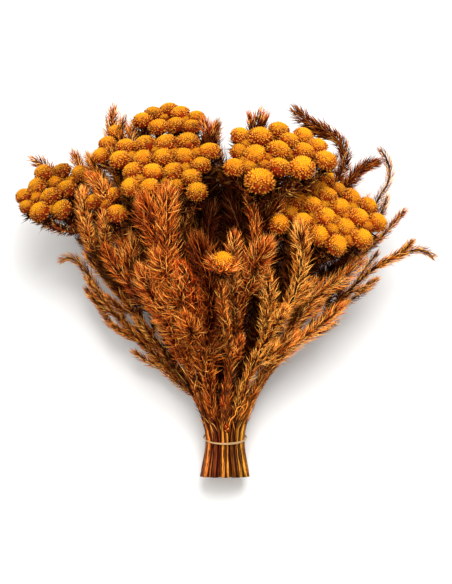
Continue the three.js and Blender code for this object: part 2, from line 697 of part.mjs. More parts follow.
routes.forEach((route) => {
  const { kind, points } = route;
  const radius = { stem: WOOD_RADIUS, shoot: SHOOT_RADIUS, stalk: STALK_RADIUS.top }[kind];
  for (let i = 1; i < points.length; i += 1) {
    const thin = kind === 'stem' && i * ROUTE.step > LEAF_START + ROUTE.step ? SHOOT_RADIUS : radius;
    take(route, points[i - 1], points[i], thin, thin);
  }
});
heads.forEach((head) => take(head, head.at, head.at, head.radius, head.radius));
Object.values(knobs).forEach((at) => take(at, at, at, KNOB_RADIUS, KNOB_RADIUS));

addPiece('tie_band', band(), BAND_TAN, ROUGH.band);
Object.entries(STEMS).forEach(([name, stem], place) => {
  const seed = SEED_STEP * (place + 1) + 1;
  const own = routes.filter((route) => route.node === name);
  const leafAt = Math.round(LEAF_START / ROUTE.step);
  const bare = own[0].points.slice(0, leafAt + 2).filter((point, i) => i % 2 === 0);
  const radii = [WOOD_RADIUS, WOOD_TOP_RADIUS];
  const wood = rod(own[0], bare, { radii, sides: WOOD_SIDES, startsAtCut: true });
  const solids = own.map((route, i) => {
    const { kind, points, flowers } = route;
    const leafy = kind === 'stem' ? points.slice(leafAt) : points;
    return rod(route, evenPoints(leafy, SHOOT_STEP), {
      radii: [kind === 'stem' ? LEADER_RADIUS : SHOOT_RADIUS, flowers ? SHOOT_RADIUS : SHOOT_TIP_RADIUS],
      sides: SHOOT_SIDES, pointed: !flowers, needlesFrom: 1, needle: stem.needle ?? NEEDLE.usual,
      seed: seed + i,
    });
  });
  addPiece(name, joined([wood, ...solids]), stem.colour, ROUGH.stems);
});
Object.keys(CORYMBS).forEach((name) => {
  const stalks = routes.filter((route) => route.node === name);
  const knob = solidOf(new THREE.IcosahedronGeometry(KNOB_RADIUS, 0).translate(...knobs[name]));
  const own = heads.filter((head) => head.node === name);
  const solids = own.map((head, i) => headOnStalk(head, stalks[i].points));
  addPiece(name, joined([knob, ...solids]), HEAD_OCHRE, ROUGH.heads);
});

// The bunch is set down with the middle of its box over the origin.
const box = new THREE.Box3().setFromObject(bunch);
bunch.position.set(-(box.min.x + box.max.x) / 2, -(box.min.y + box.max.y) / 2, 0);

export default bunch;
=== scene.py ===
"""Dried brunia bunch: finer leafy stems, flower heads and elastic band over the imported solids.

Tables and routes are in millimetres: X across the bunch, Y from the cut ends to the flowers, Z up.
"""

import json
import math

import bmesh
import bpy
import numpy as np
from bpy.props import (
    FloatProperty,
    FloatVectorProperty,
    IntProperty,
    PointerProperty,
)
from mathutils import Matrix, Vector

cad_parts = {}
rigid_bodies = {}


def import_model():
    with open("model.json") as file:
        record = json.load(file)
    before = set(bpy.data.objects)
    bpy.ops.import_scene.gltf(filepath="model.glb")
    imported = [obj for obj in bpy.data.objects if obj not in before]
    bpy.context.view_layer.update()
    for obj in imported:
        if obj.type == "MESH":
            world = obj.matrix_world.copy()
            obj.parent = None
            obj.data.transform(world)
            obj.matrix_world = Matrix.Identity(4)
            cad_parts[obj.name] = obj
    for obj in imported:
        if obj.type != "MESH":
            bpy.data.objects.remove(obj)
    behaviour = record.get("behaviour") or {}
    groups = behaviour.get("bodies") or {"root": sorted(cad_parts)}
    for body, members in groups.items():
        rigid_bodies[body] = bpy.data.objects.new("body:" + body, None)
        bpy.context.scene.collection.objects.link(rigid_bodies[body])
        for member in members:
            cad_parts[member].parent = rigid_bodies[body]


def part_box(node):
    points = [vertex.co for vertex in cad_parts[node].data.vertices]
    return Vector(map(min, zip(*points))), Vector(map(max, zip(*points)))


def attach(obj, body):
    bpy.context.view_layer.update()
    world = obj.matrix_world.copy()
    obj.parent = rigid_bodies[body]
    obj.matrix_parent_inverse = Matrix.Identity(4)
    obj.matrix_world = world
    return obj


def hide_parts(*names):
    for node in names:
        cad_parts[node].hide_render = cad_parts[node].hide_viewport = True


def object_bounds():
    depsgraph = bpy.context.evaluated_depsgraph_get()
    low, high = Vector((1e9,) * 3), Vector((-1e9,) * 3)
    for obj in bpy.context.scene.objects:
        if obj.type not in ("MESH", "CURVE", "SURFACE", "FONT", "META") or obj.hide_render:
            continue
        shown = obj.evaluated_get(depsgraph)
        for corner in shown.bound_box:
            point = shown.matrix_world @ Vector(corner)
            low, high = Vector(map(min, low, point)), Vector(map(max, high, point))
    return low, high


bl_info = {
    "name": "Dried brunia bunch",
    "version": (1, 0, 0),
    "blender": (4, 5, 0),
    "location": "3D View > Sidebar > Brunia",
    "description": "Builds the leafy stems, flower heads, elastic band and stage of a dried bunch",
    "category": "Add Mesh",
}

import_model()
CAD_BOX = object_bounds()

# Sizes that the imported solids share: the room on top of a stem, radii, and the bundle's three levels.
MM = 0.001
GAP = 0.3
WOOD_RADIUS = 2.6
SHOOT_RADIUS = 1.25
KNOB_RADIUS = 2.9
TIE = {"y": 26, "z": 19.5, "spread": 1}
TIE_TILT = 0.26
CUT = {"y": 0, "z": 15.8, "spread": 1.3}
NECK = {"y": 50, "z": 26, "spread": 1.65}
RINGS = {"outer": 10.65, "inner": 4.75, "centre": 0}

# Stems. ring and turn are a stem's place in the bundle, and way is the points that it passes above
# the band. bright and flush are how light and red its needles are, shade is the least painted shade
# that they get, and lit ones take little painted shade from their depth. sparse is how many times
# the usual step lies between its side twigs, and under is whether it bears undergrowth. A shoot
# starts at a share of its stem's way.
STEMS = {
    "stem_right_curled": {
        "ring": "outer", "turn": 0, "colour": "gold", "look": "close", "lit": True, "under": False,
        "bright": 0.08,
        "way": [[34, 76, 33], [55, 97, 41], [72, 114, 49], [85, 127, 56], [97, 138, 61], [110, 144, 65],
            [121, 149, 67], [129, 149, 67], [135, 145, 66]],
        "shoots": [
            {"from": 0.79, "way": [[115, 149, 69], [121, 155, 73]]},
            {"from": 0.5, "way": [[84, 118, 44], [95, 125, 44]]},
        ],
    },
    "stem_right_orange": {
        "ring": "outer", "turn": 30, "colour": "orange", "look": "brush", "bright": 0.18,
        "way": [[30, 78, 50], [46, 104, 66], [61, 122, 80], [75, 130, 87], [87, 142, 91]],
        "shoots": [
            {"from": 0.42, "way": [[50, 92, 60], [64, 102, 66], [75, 113, 71]]},
        ],
    },
    "stem_front_right": {
        "ring": "outer", "turn": 60, "colour": "gold", "bright": 0.16, "flush": -0.1, "look": "brush",
        "sparse": 2,
        "way": [[18, 74, 57], [29, 95, 74], [41, 114, 92], [47, 128, 103], [49, 142, 112], [48, 155, 119],
            [47, 164, 122]],
        "shoots": [
            {"from": 0.5, "way": [[28, 122, 98], [23, 141, 108]]},
        ],
    },
    "stem_front": {
        "ring": "outer", "turn": 90, "colour": "orange", "look": "slim", "sparse": 5,
        "way": [[3, 74, 58], [9, 105, 82], [15, 130, 99], [19, 150, 109], [19, 166, 115], [15, 183, 119]],
        "shoots": [
            {"look": "fan", "shade": 0.3, "from": 0.62, "way": [[20, 140, 110], [26, 151, 117]]},
            {"look": "brush", "flush": 0.4, "from": 0.52,
             "way": [[5, 128, 104], [5, 144, 113], [6, 157, 117]]},
            {"flowers": "heads_front_small", "from": 0.4,
             "way": [[0, 106, 94], [-2, 120, 105], [-1, 129, 110]]},
        ],
    },
    "stem_front_left": {
        "ring": "outer", "turn": 120, "colour": "orange", "bright": -0.16, "look": "fan", "flush": -0.25,
        "way": [[-13, 74, 57], [-22, 100, 78], [-32, 124, 97], [-37, 146, 112], [-39, 166, 121],
            [-37, 184, 127]],
        "shoots": [
            {"flush": -0.25, "from": 0.72, "way": [[-45, 162, 121], [-51, 178, 127]]},
            {"look": "brush", "flush": 0.6, "from": 0.42,
             "way": [[-17, 108, 90], [-21, 124, 102], [-28, 139, 112]]},
            {"shade": 0.6, "from": 0.38, "way": [[-9, 110, 92], [-11, 132, 103], [-18, 154, 112]]},
        ],
    },
    "stem_left_rosette": {
        "ring": "outer", "turn": 150, "colour": "orange", "look": "brush",
        "way": [[-24, 72, 49], [-35, 94, 62], [-48, 116, 73], [-58, 138, 79], [-66, 156, 82]],
        "flowers": "heads_left_small",
        "shoots": [
            {"look": "fan", "from": 0.42, "way": [[-37, 104, 80], [-45, 119, 92], [-52, 134, 100]]},
            {"from": 0.66, "way": [[-67, 134, 85], [-76, 149, 90]]},
            {"flush": 0.7, "from": 0.36, "way": [[-28, 94, 70], [-34, 112, 82], [-39, 122, 88]]},
        ],
    },
    "stem_far_left": {
        "ring": "outer", "turn": 180, "colour": "olive", "look": "slim",
        "way": [[-31, 71, 32], [-47, 92, 40], [-62, 111, 48], [-76, 131, 55], [-84, 146, 61],
            [-93, 161, 66]],
        "flowers": "heads_far_left",
        "shoots": [
            {"from": 0.78, "way": [[-84, 150, 74], [-90, 164, 84]]},
            {"look": "tuft", "lit": True, "from": 0.86,
             "way": [[-104, 182, 48], [-113, 200, 50], [-124, 208, 52]]},
            {"look": "tuft", "lit": True, "from": 0.86,
             "way": [[-89, 178, 50], [-93, 198, 48], [-98, 211, 50]]},
        ],
    },
    "stem_left_low": {
        "ring": "outer", "turn": 210, "colour": "olive", "look": "close", "lit": True, "under": False,
        "way": [[-33, 68, 22], [-49, 83, 26], [-63, 97, 30], [-74, 110, 34], [-82, 121, 37],
            [-88, 131, 40], [-95, 141, 42], [-102, 145, 43], [-107, 143, 43]],
        "shoots": [
            {"from": 0.56, "way": [[-74, 100, 28], [-82, 112, 28], [-91, 124, 30]]},
            {"from": 0.42, "way": [[-56, 90, 34], [-66, 102, 38]]},
        ],
    },
    "stem_rear_left": {
        "ring": "outer", "turn": 240, "colour": "rust",
        "way": [[-17, 84, 14], [-29, 112, 17], [-40, 140, 21]],
        "flowers": "heads_rear_left",
        "shoots": [
            {"from": 0.6, "way": [[-46, 126, 12], [-62, 144, 10], [-74, 160, 12]]},
        ],
    },
    "stem_rear": {
        "ring": "outer", "turn": 270, "colour": "olive",
        "way": [[1, 88, 14], [3, 130, 21], [5, 172, 33]],
        "flowers": "heads_rear",
        "shoots": [
            {"from": 0.55, "way": [[9, 126, 10], [16, 148, 9], [20, 168, 14]]},
            {"from": 0.75, "way": [[18, 176, 24], [24, 196, 26], [28, 214, 32]]},
        ],
    },
    "stem_rear_right": {
        "ring": "outer", "turn": 300, "colour": "rust",
        "way": [[17, 84, 14], [29, 112, 17], [39, 140, 21]],
        "flowers": "heads_rear_right",
        "shoots": [
            {"from": 0.6, "way": [[46, 126, 12], [62, 142, 10], [76, 158, 12]]},
        ],
    },
    "stem_right_tall": {
        "ring": "outer", "turn": 330, "colour": "gold", "look": "close", "lit": True, "under": False,
        "way": [[37, 82, 22], [60, 116, 30], [80, 146, 41], [93, 169, 51], [101, 185, 56], [107, 195, 58],
            [106, 207, 58], [101, 215, 57]],
        "shoots": [
            {"from": 0.62, "way": [[97, 153, 45], [108, 165, 49], [117, 175, 51]]},
            {"from": 0.74, "way": [[100, 170, 60], [105, 184, 66]]},
        ],
    },
    "stem_right_flowering": {
        "ring": "inner", "turn": 15, "colour": "orange", "look": "slim",
        "way": [[18, 80, 41], [32, 112, 56], [45, 136, 68], [55, 151, 76]],
        "flowers": "heads_right_lower",
        "shoots": [
            {"look": "brush", "from": 0.7, "way": [[58, 138, 78], [72, 146, 86], [84, 146, 92]]},
            {"from": 0.8, "way": [[66, 148, 68], [86, 160, 72], [99, 176, 76]]},
        ],
    },
    "stem_front_flowering": {
        "ring": "inner", "turn": 75, "colour": "rust", "sparse": 2,
        "way": [[6, 80, 46], [14, 115, 64], [23, 150, 82], [30, 181, 95]],
        "flowers": "heads_right_centre",
        "shoots": [
            {"shade": 0.97, "from": 0.6, "way": [[14, 146, 90], [8, 166, 96], [2, 182, 98]]},
        ],
    },
    "stem_mid_left_flowering": {
        "ring": "inner", "turn": 135, "colour": "orange", "look": "brush",
        "way": [[-12, 80, 45], [-20, 112, 61], [-28, 145, 76], [-34, 174, 88]],
        "flowers": "heads_mid_left",
        "shoots": [
            {"shade": 0.97, "from": 0.55, "way": [[-16, 138, 84], [-12, 158, 94], [-8, 176, 98]]},
            {"from": 0.68, "way": [[-44, 154, 90], [-54, 172, 98]]},
        ],
    },
    "stem_top_left": {
        "ring": "inner", "turn": 195, "colour": "gold", "lit": True,
        "way": [[-22, 85, 35], [-38, 120, 45], [-53, 158, 56], [-66, 194, 65]],
        "flowers": "heads_top_left",
        "shoots": [
            {"look": "tuft", "from": 0.84, "way": [[-66, 192, 52], [-74, 216, 54], [-73, 240, 55]]},
            {"look": "tuft", "from": 0.88, "way": [[-60, 204, 68], [-62, 226, 68]]},
        ],
    },
    "stem_back_left": {
        "ring": "inner", "turn": 255, "colour": "olive", "lit": True,
        "way": [[-8, 90, 25], [-17, 130, 33], [-25, 170, 40], [-30, 204, 46]],
        "flowers": "heads_back_left",
        "shoots": [
            {"look": "tuft", "from": 0.76, "way": [[-42, 192, 38], [-54, 214, 40], [-60, 230, 44]]},
            {"look": "tuft", "from": 0.66, "way": [[-14, 182, 44], [-10, 206, 48], [-6, 226, 52]]},
        ],
    },
    "stem_right_hook": {
        "ring": "inner", "turn": 315, "colour": "rust", "look": "hook", "lit": True, "bright": -0.2,
        "under": False, "shade": 0.4, "flush": -0.6,
        "way": [[18, 90, 27], [36, 130, 35], [54, 164, 43], [68, 188, 49], [77, 203, 53], [77, 216, 55],
            [70, 224, 56], [60, 230, 57], [52, 234, 58], [46, 240, 59]],
        "shoots": [
            {"from": 0.88, "way": [[58, 228, 50], [51, 225, 46]]},
            {"flush": -0.6, "shade": 0.2, "from": 0.68, "way": [[80, 192, 59], [88, 202, 65], [98, 206, 67]]},
            {"from": 0.6, "way": [[48, 184, 36], [44, 204, 38], [40, 222, 44]]},
        ],
    },
    "stem_centre": {
        "ring": "centre", "turn": 0, "colour": "orange", "look": "tuft",
        "way": [[2, 90, 39], [5, 130, 52], [10, 172, 64], [16, 208, 73], [20, 226, 77], [23, 237, 79]],
        "shoots": [
            {"from": 0.7, "way": [[2, 196, 70], [-8, 218, 74], [-13, 231, 76]]},
            {"from": 0.5, "way": [[-6, 146, 68], [-10, 170, 76]]},
        ],
    },
}

# Corymbs. Heads that the eye sees are placed one by one as [x, y, radius], and their z follows the
# corymb's own tilted, domed disc. Those of hidden corymbs follow a spiral. bright, where given, is
# how light a corymb's florets are, partly their own tone and partly painted light and shade.
CORYMBS = {
    "heads_far_left": {
        "disc": {"x": -113, "y": 187, "z": 74, "tilt": -0.9, "dome": 0.006}, "bright": 0.46,
        "heads": [[-129, 184, 5.2], [-120, 174, 6.5], [-122, 190, 5.9], [-116, 199, 5.9],
            [-106, 200, 5.9], [-96, 199, 5.9], [-112, 183, 6.8], [-127, 177, 4.8], [-105, 175, 6.5],
            [-103, 188, 6.2]],
    },
    "heads_back_left": {
        "disc": {"x": -35, "y": 234, "z": 54, "tilt": -1.6, "dome": 0.004},
        "heads": [[-53, 234, 5.9], [-46, 238, 6.2], [-37, 240, 6.2], [-28, 238, 5.9], [-21, 236, 5.5],
            [-42, 229, 6.2], [-32, 230, 6.2], [-23, 229, 5.5]],
    },
    "heads_mid_left": {
        "disc": {"x": -38, "y": 200, "z": 106, "tilt": -1.05, "dome": 0.008},
        "heads": [[-67, 207, 6.5], [-63, 215, 6.2], [-51, 216, 6.8], [-38, 217, 6.8], [-25, 218, 7.2],
            [-10, 212, 6.8], [-52, 207, 6.2], [-57, 199, 6.5], [-40, 208, 6.5], [-26, 208, 6.5],
            [-16, 203, 6.2], [-46, 198, 6.8], [-33, 198, 6.5], [-23, 195, 6.2], [-18, 186, 6.5],
            [-59, 189, 6.2], [-48, 188, 6.5]],
    },
    "heads_left_small": {
        "disc": {"x": -75, "y": 181, "z": 90, "tilt": -0.9, "dome": 0.004},
        "heads": [[-84, 180, 5.9], [-73, 184, 5.9], [-69, 172, 6.5], [-80, 190, 5.4]],
    },
    "heads_top_left": {
        "disc": {"x": -75, "y": 218, "z": 72, "tilt": -0.9, "dome": 0.004},
        "heads": [[-76, 218, 5.4], [-80, 210, 5.2], [-71, 226, 4.8]],
    },
    "heads_right_centre": {
        "disc": {"x": 33, "y": 206, "z": 113, "tilt": -1.05, "dome": 0.008}, "bright": 0.64,
        "heads": [[10, 222, 6.2], [23, 221, 7.8], [34, 225, 6.5], [41, 218, 6.2], [49, 221, 6.5],
            [20, 209, 7.4], [35, 213, 7.2], [50, 211, 6.8], [59, 215, 6.2], [6, 201, 6.8],
            [34, 201, 7.2], [49, 201, 7.8], [64, 206, 6.8], [22, 192, 9.1]],
    },
    "heads_right_lower": {
        "disc": {"x": 68, "y": 172, "z": 93, "tilt": -0.85, "dome": 0.008}, "bright": 0.66,
        "heads": [[45, 190, 6.2], [56, 191, 6.2], [64, 196, 5.9], [46, 180, 6.5], [37, 177, 5.9],
            [55, 178, 6.2], [66, 184, 6.2], [34, 166, 7.2], [65, 170, 6.8], [74, 176, 6.2],
            [82, 182, 6.2], [91, 178, 5.9], [86, 169, 6.5], [77, 163, 6.5], [97, 167, 6.2],
            [60, 158, 6.8], [71, 152, 6.8], [87, 156, 6.8], [50, 167, 6.2]],
    },
    "heads_front_small": {
        "disc": {"x": -1, "y": 141, "z": 118, "tilt": 0, "dome": 0}, "rosette": 220,
        "heads": [[-1, 141, 5.4]],
    },
    "heads_rear_left": {
        "centre": [-50, 168, 25], "facing": [-0.33, 0.94, 0.1], "count": 7, "reach": 19, "rests": True,
    },
    "heads_rear": {"centre": [6, 203, 42], "facing": [0, 0.97, 0.2], "count": 7, "reach": 19},
    "heads_rear_right": {
        "centre": [48, 168, 25], "facing": [0.3, 0.94, 0.1], "count": 7, "reach": 19, "rests": True,
    },
}

# How the hidden heads lie, how heads are spread, and how routes are read and pushed apart.
HIDDEN_HEADS = {"radius": 6.2, "smaller": 0.7, "first_reach": 0.35, "droop": 0.012, "detail": 0.6}
HEAD_SPREAD = {"rounds": 80, "near": 20, "room": 0.15, "room_between_corymbs": 1.15, "across": 0.5}
REST_DEPTH = 0.9
GOLDEN_ANGLE = math.pi * (3 - math.sqrt(5))
CURVE_DETAIL = 24
USUAL = {"look": "brush", "lit": False}
ROUTE = {
    "step": 6, "rounds": 60, "leaf_room": 1.1, "wood_room": 0.4, "wood_end": 64, "bound": 58,
    "loosen": 26, "root_steps": 2, "top_steps": 3, "floor": 1.2, "tiny": 0.001,
}

# Loose bits over the band: a cupped dry leaf, thin curled strands and a red-tipped tuft.
LITTER = {
    "stem": "stem_front",
    "step": 1,
    "leaf": {"at": [-2.1, 49.7, 46.5], "size": (3.6, 6.0, 5), "growth": (0.3, 0.45, 0.0)},
    "radii": (0.32, 0.2),
    "strands": [
        {"tint": 0.74, "way": [[1.5, 31, 34.5], [2.8, 35.5, 38.8], [3.8, 38.8, 41.4], [6.8, 41.5, 43.4],
            [7.2, 45, 45.2], [9.8, 47.8, 46], [12, 46.2, 44.6], [12.4, 43.6, 43.2], [10.9, 42.6, 41.8]]},
        {"tint": 0.66, "way": [[8, 36, 35], [10.5, 41, 39.5], [14, 46, 42], [15, 51, 44]]},
        {"tint": 0.1, "way": [[-5, 44, 43], [-2.5, 45.5, 46.2], [2, 45.2, 46.6], [7, 47.5, 46]]},
    ],
    "tuft": {
        "way": [[1.1, 29.5, 35], [1.3, 32, 37], [1.1, 34.5, 39]], "seat": 0.4,
        "look": {"length": 3.2, "lift": 0.6, "per_mm": 5, "bow": 0.2, "width": 0.6, "flush": 1},
    },
}

# Finer sprays that some stems bear besides their shoots: where each starts as a share of the stem's
# way, its look, its least painted shade and its points. Those with the look called under are dark
# fill: twigs deep in the bunch whose needles are dark with painted shade.
SPRAYS = {
    "stem_far_left": [
        (0.72, "tuft", 0, [[-86, 150, 72], [-90, 170, 86], [-91, 186, 94]]),
        (0.66, "tuft", 0, [[-76, 144, 70], [-77, 160, 84], [-78, 171, 92]]),
        (0.6, "slim", 0, [[-72, 128, 62], [-74, 146, 70], [-78, 160, 74]]),
        (0.9, "brush", 0.7, [[-95, 176, 52], [-96, 192, 54]]),
        (0.85, "brush", 0.7, [[-84, 168, 56], [-84, 188, 60], [-86, 200, 62]]),
    ],
    "stem_left_low": [
        (0.27, "slim", 0, [[-28, 60, 21], [-38, 69, 22], [-48, 79, 24]]),
        (0.33, "slim", 0, [[-38, 78, 26], [-49, 92, 30], [-58, 104, 34]]),
    ],
    "stem_top_left": [
        (0.8, "brush", 0, [[-62, 184, 66], [-70, 200, 72], [-74, 212, 78]]),
        (0.7, "brush", 0.7, [[-64, 170, 52], [-76, 188, 54], [-84, 202, 58]]),
        (0.86, "brush", 0, [[-66, 206, 64], [-68, 222, 68], [-66, 232, 72]]),
        (0.7, "tuft", 0, [[-70, 180, 62], [-81, 196, 72], [-87, 208, 76]]),
    ],
    "stem_left_rosette": [
        (0.85, "tuft", 0, [[-72, 168, 84], [-78, 186, 92], [-86, 196, 94]]),
    ],
    "stem_rear": [
        (0.6, "under", 1, [[-4, 140, 30], [-10, 165, 36], [-12, 190, 42]]),
        (0.7, "under", 1, [[-2, 160, 40], [-6, 180, 50], [-8, 196, 56]]),
        (0.6, "under", 0.85, [[12, 140, 28], [22, 165, 34], [28, 190, 42]]),
        (0.9, "under", 0.85, [[16, 176, 42], [24, 198, 48], [27, 216, 50]]),
    ],
    "stem_centre": [
        (0.55, "under", 1, [[4, 150, 50], [0, 172, 50], [-4, 190, 52]]),
        (0.9, "slim", 0.35, [[17, 222, 77], [17, 230, 79], [16, 235, 80]]),
        (0.9, "slim", 0.35, [[22, 222, 78], [24, 230, 80], [26, 234, 80]]),
    ],
    "stem_back_left": [
        (0.6, "under", 1, [[-22, 160, 30], [-18, 178, 36], [-14, 196, 42]]),
        (0.8, "tuft", 0.5, [[-22, 196, 46], [-12, 216, 52], [-6, 230, 56]]),
        (0.7, "under", 1, [[-40, 180, 40], [-52, 196, 44], [-60, 212, 48]]),
        (0.85, "under", 0.9, [[-38, 198, 46], [-48, 212, 48], [-54, 225, 50]]),
        (0.85, "under", 0.9, [[-24, 196, 46], [-16, 210, 52], [-13, 222, 54]]),
    ],
    "stem_rear_left": [
        (0.6, "under", 0.85, [[-52, 140, 22], [-66, 158, 26], [-78, 178, 32]]),
        (0.7, "under", 0.85, [[-50, 150, 26], [-60, 172, 34], [-68, 196, 40]]),
        (0.5, "under", 0.85, [[-44, 120, 22], [-60, 136, 26], [-78, 150, 32]]),
    ],
    "stem_rear_right": [
        (0.6, "under", 0.85, [[50, 130, 24], [62, 148, 28], [72, 160, 34]]),
        (0.5, "under", 0.85, [[44, 116, 24], [60, 130, 28], [76, 142, 34]]),
    ],
    "stem_right_tall": [
        (0.55, "slim", 0, [[74, 132, 46], [88, 150, 52], [98, 158, 56]]),
    ],
}

# How needles lie: length in mm, lift from the twig in radians, number on each mm of twig, bow back
# as a share of the length, and how many times the usual width.
LOOKS = {
    "fan": {"length": 13.5, "lift": 1.2, "per_mm": 8.5, "bow": 0.7},
    "brush": {"length": 10.5, "lift": 0.95, "per_mm": 5.8, "bow": 0.58},
    "slim": {"length": 8.5, "lift": 0.65, "per_mm": 5.6, "bow": 0.4},
    "close": {"length": 6, "lift": 0.7, "per_mm": 6.5, "bow": 0.3},
    "hook": {"length": 8.5, "lift": 0.9, "per_mm": 11, "bow": 0.45, "wide": 1.5},
    "tuft": {"length": 9, "lift": 1.0, "per_mm": 11.5, "bow": 0.55, "wide": 1.35},
    "under": {"length": 11, "lift": 1.0, "per_mm": 6.5, "bow": 0.2, "wide": 2.2},
    "bract": {"length": 6, "lift": 0.8, "per_mm": 2.6, "bow": 0.1},
}

# Shapes. Rings are the heights at which a needle is widened, each with how many times. LEVEL is how
# near a height a point has to be to lie at it.
LONG_RINGS = ((0.22, 1.28), (0.62, 1.9))
SHORT_RINGS = ((0.4, 1.5),)
NEEDLE_ROOT = 0.6
CUT_RINGS = (0.22, 0.45)
BLADE = {"sides": 10, "thick": 0.06, "middle": 0.1, "cup": (0, 0, -0.14), "end": 0.4, "tip": (0, 0.3, 0.1)}
LEVEL = 1e-5

# How needles stand: the low ones on a stem lie close, dimmed and darkened with painted shade, and
# those at a tip close over it. Looks that bow more than LONG_FROM have long leaves, and those with
# more painted shade than PLAIN_FROM plain ones.
LOW_LEAVES = {
    "start": 27, "stray": (-5, 12), "rise": 55, "lift": 0.13, "length": 12, "shade": 0.5, "dim": 0.15,
}
TIP = {"crowd": 0.85, "reach": 0.8, "close": 0.55, "short": 0.3}
SWELL = {"from_tip": (22, 75), "share": (1, 0.72)}
LONG_FROM = 0.6
PLAIN_FROM = 0.8
NEEDLE_SEAT = 0.8
NEEDLE_CLEAR = 0.97
FEWEST_NEEDLES = 3
BRIGHTER = 0.05
ABOVE_BOX = 2.5
GROWN_STEP = 3

# How far single needles, twigs and sprays stray from what their tables give, as shares or radians.
STRAY = {
    "place": 0.7, "turn": 0.5, "lift": (0.78, 1.2), "sway": 0.22, "length": (0.75, 1.12), "shade": 0.12,
    "width": (0.8, 1.2), "bow": (0.2, 1.6), "curl": 0.2, "flush": 0.22, "bright": 0.06,
    "twig": (0.7, 1.3), "step": (0.8, 1.2),
}
ROUND = 6.28
SEEDS = {"stems": 500, "heads": 900}

# How much painted shade leaves get by their depth below the bunch's upper surface, and how many grow there.
SHADE = {"near": 9, "from": 3, "over": 18, "lit": 0.3}
DENSITY = {"depth": (0.3, 1), "share": (1.15, 0.42)}

# Hollows between the stems: their leaves, seen only from above, get the darkest painted shade.
HOLLOWS = [
    {"at": (-7, 174), "reach": (18, 15), "below": 82, "shade": 1.4},
    {"at": (56, 142), "reach": (9, 9), "below": 56, "shade": 1.1},
]
HOLLOW_EDGE = (0.7, 1.1)

# Side twigs by kind: radii at root and tip, the seat of their needles, and where these start and rise.
TWIGS = {
    "shoot": {"radii": (1.1, 0.55), "seat": 0.9, "start": 3, "rise": 8},
    "flowering_shoot": {"radii": (1.1, 1.1), "seat": 0.9, "start": 3, "rise": 8},
    "spray": {"radii": (0.9, 0.5), "seat": 0.8, "start": 3, "rise": 6},
    "sprig": {"radii": (0.8, 0.45), "seat": 0.7, "start": 2, "rise": 0},
    "under": {"radii": (0.7, 0.4), "seat": 0.6, "start": 2, "rise": 0},
}
SPRIG = {
    "start": 84, "step": 10, "end": 0.75, "below_heads": 3, "length": 22, "lift": 0.5, "middle": 0.45,
    "spread": 0.6, "clear": 1.08, "margin": 6,
}
UNDER = {
    "start": 54, "step": 13, "length": 34, "lift": 0.6, "middle": 0.5, "spread": 1, "height": 26,
    "stray": 12, "margin": 16, "deep": 0.3, "beyond": 12,
}
# The undergrowth's needles are dark with painted shade.
UNDER_LOOK = {"length": 9, "lift": 0.95, "per_mm": 3.0, "bow": 0.15, "width": 0.95, "shade": 0.88}

# The stems' wood: even through the band, then tapering to its end, and a slimmer stem from there on.
WOOD = {
    "even": 46, "end": 63, "radii": (3.0, 2.35, 1.9), "step_in": 0.1, "tapers": 20, "upper": 1.4,
    "flowering": 1.3, "leafy": 0.7, "seat": 1.5,
}
# rib also sets painted shade: dark in the furrows and over all of a plain rod, and darker above the band.
RIBS = {
    "count": 4, "depth": 0.22, "twist": 0.03, "start": 9, "plain": 0.25, "fade": (28, 42), "left": (1, 0.3),
}
BARK = {"brown": (0.24, 0.040, 0.005), "dark": (0.022, 0.002, 0.001)}
BARK_TINT = {"odd": 0.78, "even": 0.35, "stray": (-0.25, 0.2)}
FIBRE = {
    "start": 27, "end": 96, "per_mm": 0.45, "seat": 1.7, "lift": (0.1, 0.45), "length": (6, 17),
    "width": 0.5, "bow": (-0.1, 0.3), "curl": 0.35, "tint": (0.5, 1), "shade": 0.1,
}

# A head and what grows on it, as shares of its radius and in radians from its top.
HEAD = {
    "lean": 0.1, "squash": (0.84, 0.95), "growth": (1.06, 1.24), "most_growth": 0.7, "fine_above": 5,
    "full": 6.5, "core": 0.88, "along": 0.12, "bright": 0.58, "stray": 0.07,
}
FLORET = {
    "end": 2.2, "stray": 0.03, "turn": 0.05, "smooth": 0.5, "roughens": 0.7, "thin": 0.5, "behind": 0.4,
    "hidden": -0.25, "seat": 0.82, "height": 0.15, "higher": (-0.01, 0.07), "calm": 0.2,
    "rough_height": 0.08, "sway": 0.14, "calm_sway": 0.25, "upward": 0.12, "width": 0.125, "slim": 0.94,
    "rough_width": 0.25, "wide": (0.88, 1.12), "tint": 0.04, "rough_tint": 0.16, "low": 0.1,
}
# The shade of bracts and spines is painted shade under a head; the bracts' colour is their own dark red.
BRACTS = {
    "count": 12, "angle": (1.9, 2.6), "seat": 0.72, "out": 0.75, "up": 0.65, "length": 0.62, "width": 0.9,
    "bow": -0.1, "shade": 0.6, "colour": (0.30, 0.05, 0.008),
}
SPINES = {
    "count": 40, "below": (0.9, 1.5), "rise": (-0.2, 0.45), "length": (0.9, 1.7), "width": 1.0, "bow": 0.1,
    "shade": 0.9,
}
STALK = {
    "route_parts": 2, "bend": 0.5, "parts": 6, "radii": (0.7, 0.9), "tint": 0.3, "foot": 0.8,
    "bract_width": 0.8, "seat": 0.7, "start": 2,
}
# Heads set in a corymb's gaps: their bright is below a head's usual, painted shade.
BETWEEN = {
    "step": 1.5, "reach": 17, "gap": 0.2, "overlap": 3.4, "largest": 5.6, "round": 3, "lower": 2.4,
    "widest": 3.0, "detail": 0.65, "bright": 0.5,
}
ROSETTE = {
    "button": 1.3, "out": 0.5, "low": (0.3, 0.8), "lift": (0.0, 0.7), "length": (7.8, 13.8), "width": 0.6,
    "bow": (0.075, 0.4), "curl": 0.12, "shade": 0, "flush": 0.2,
}
BAND = {
    "radius": 14.1, "segments": 144, "sides": 8, "crossings": 1, "start": 2.2, "room": 0.14, "lift": 0.36,
}

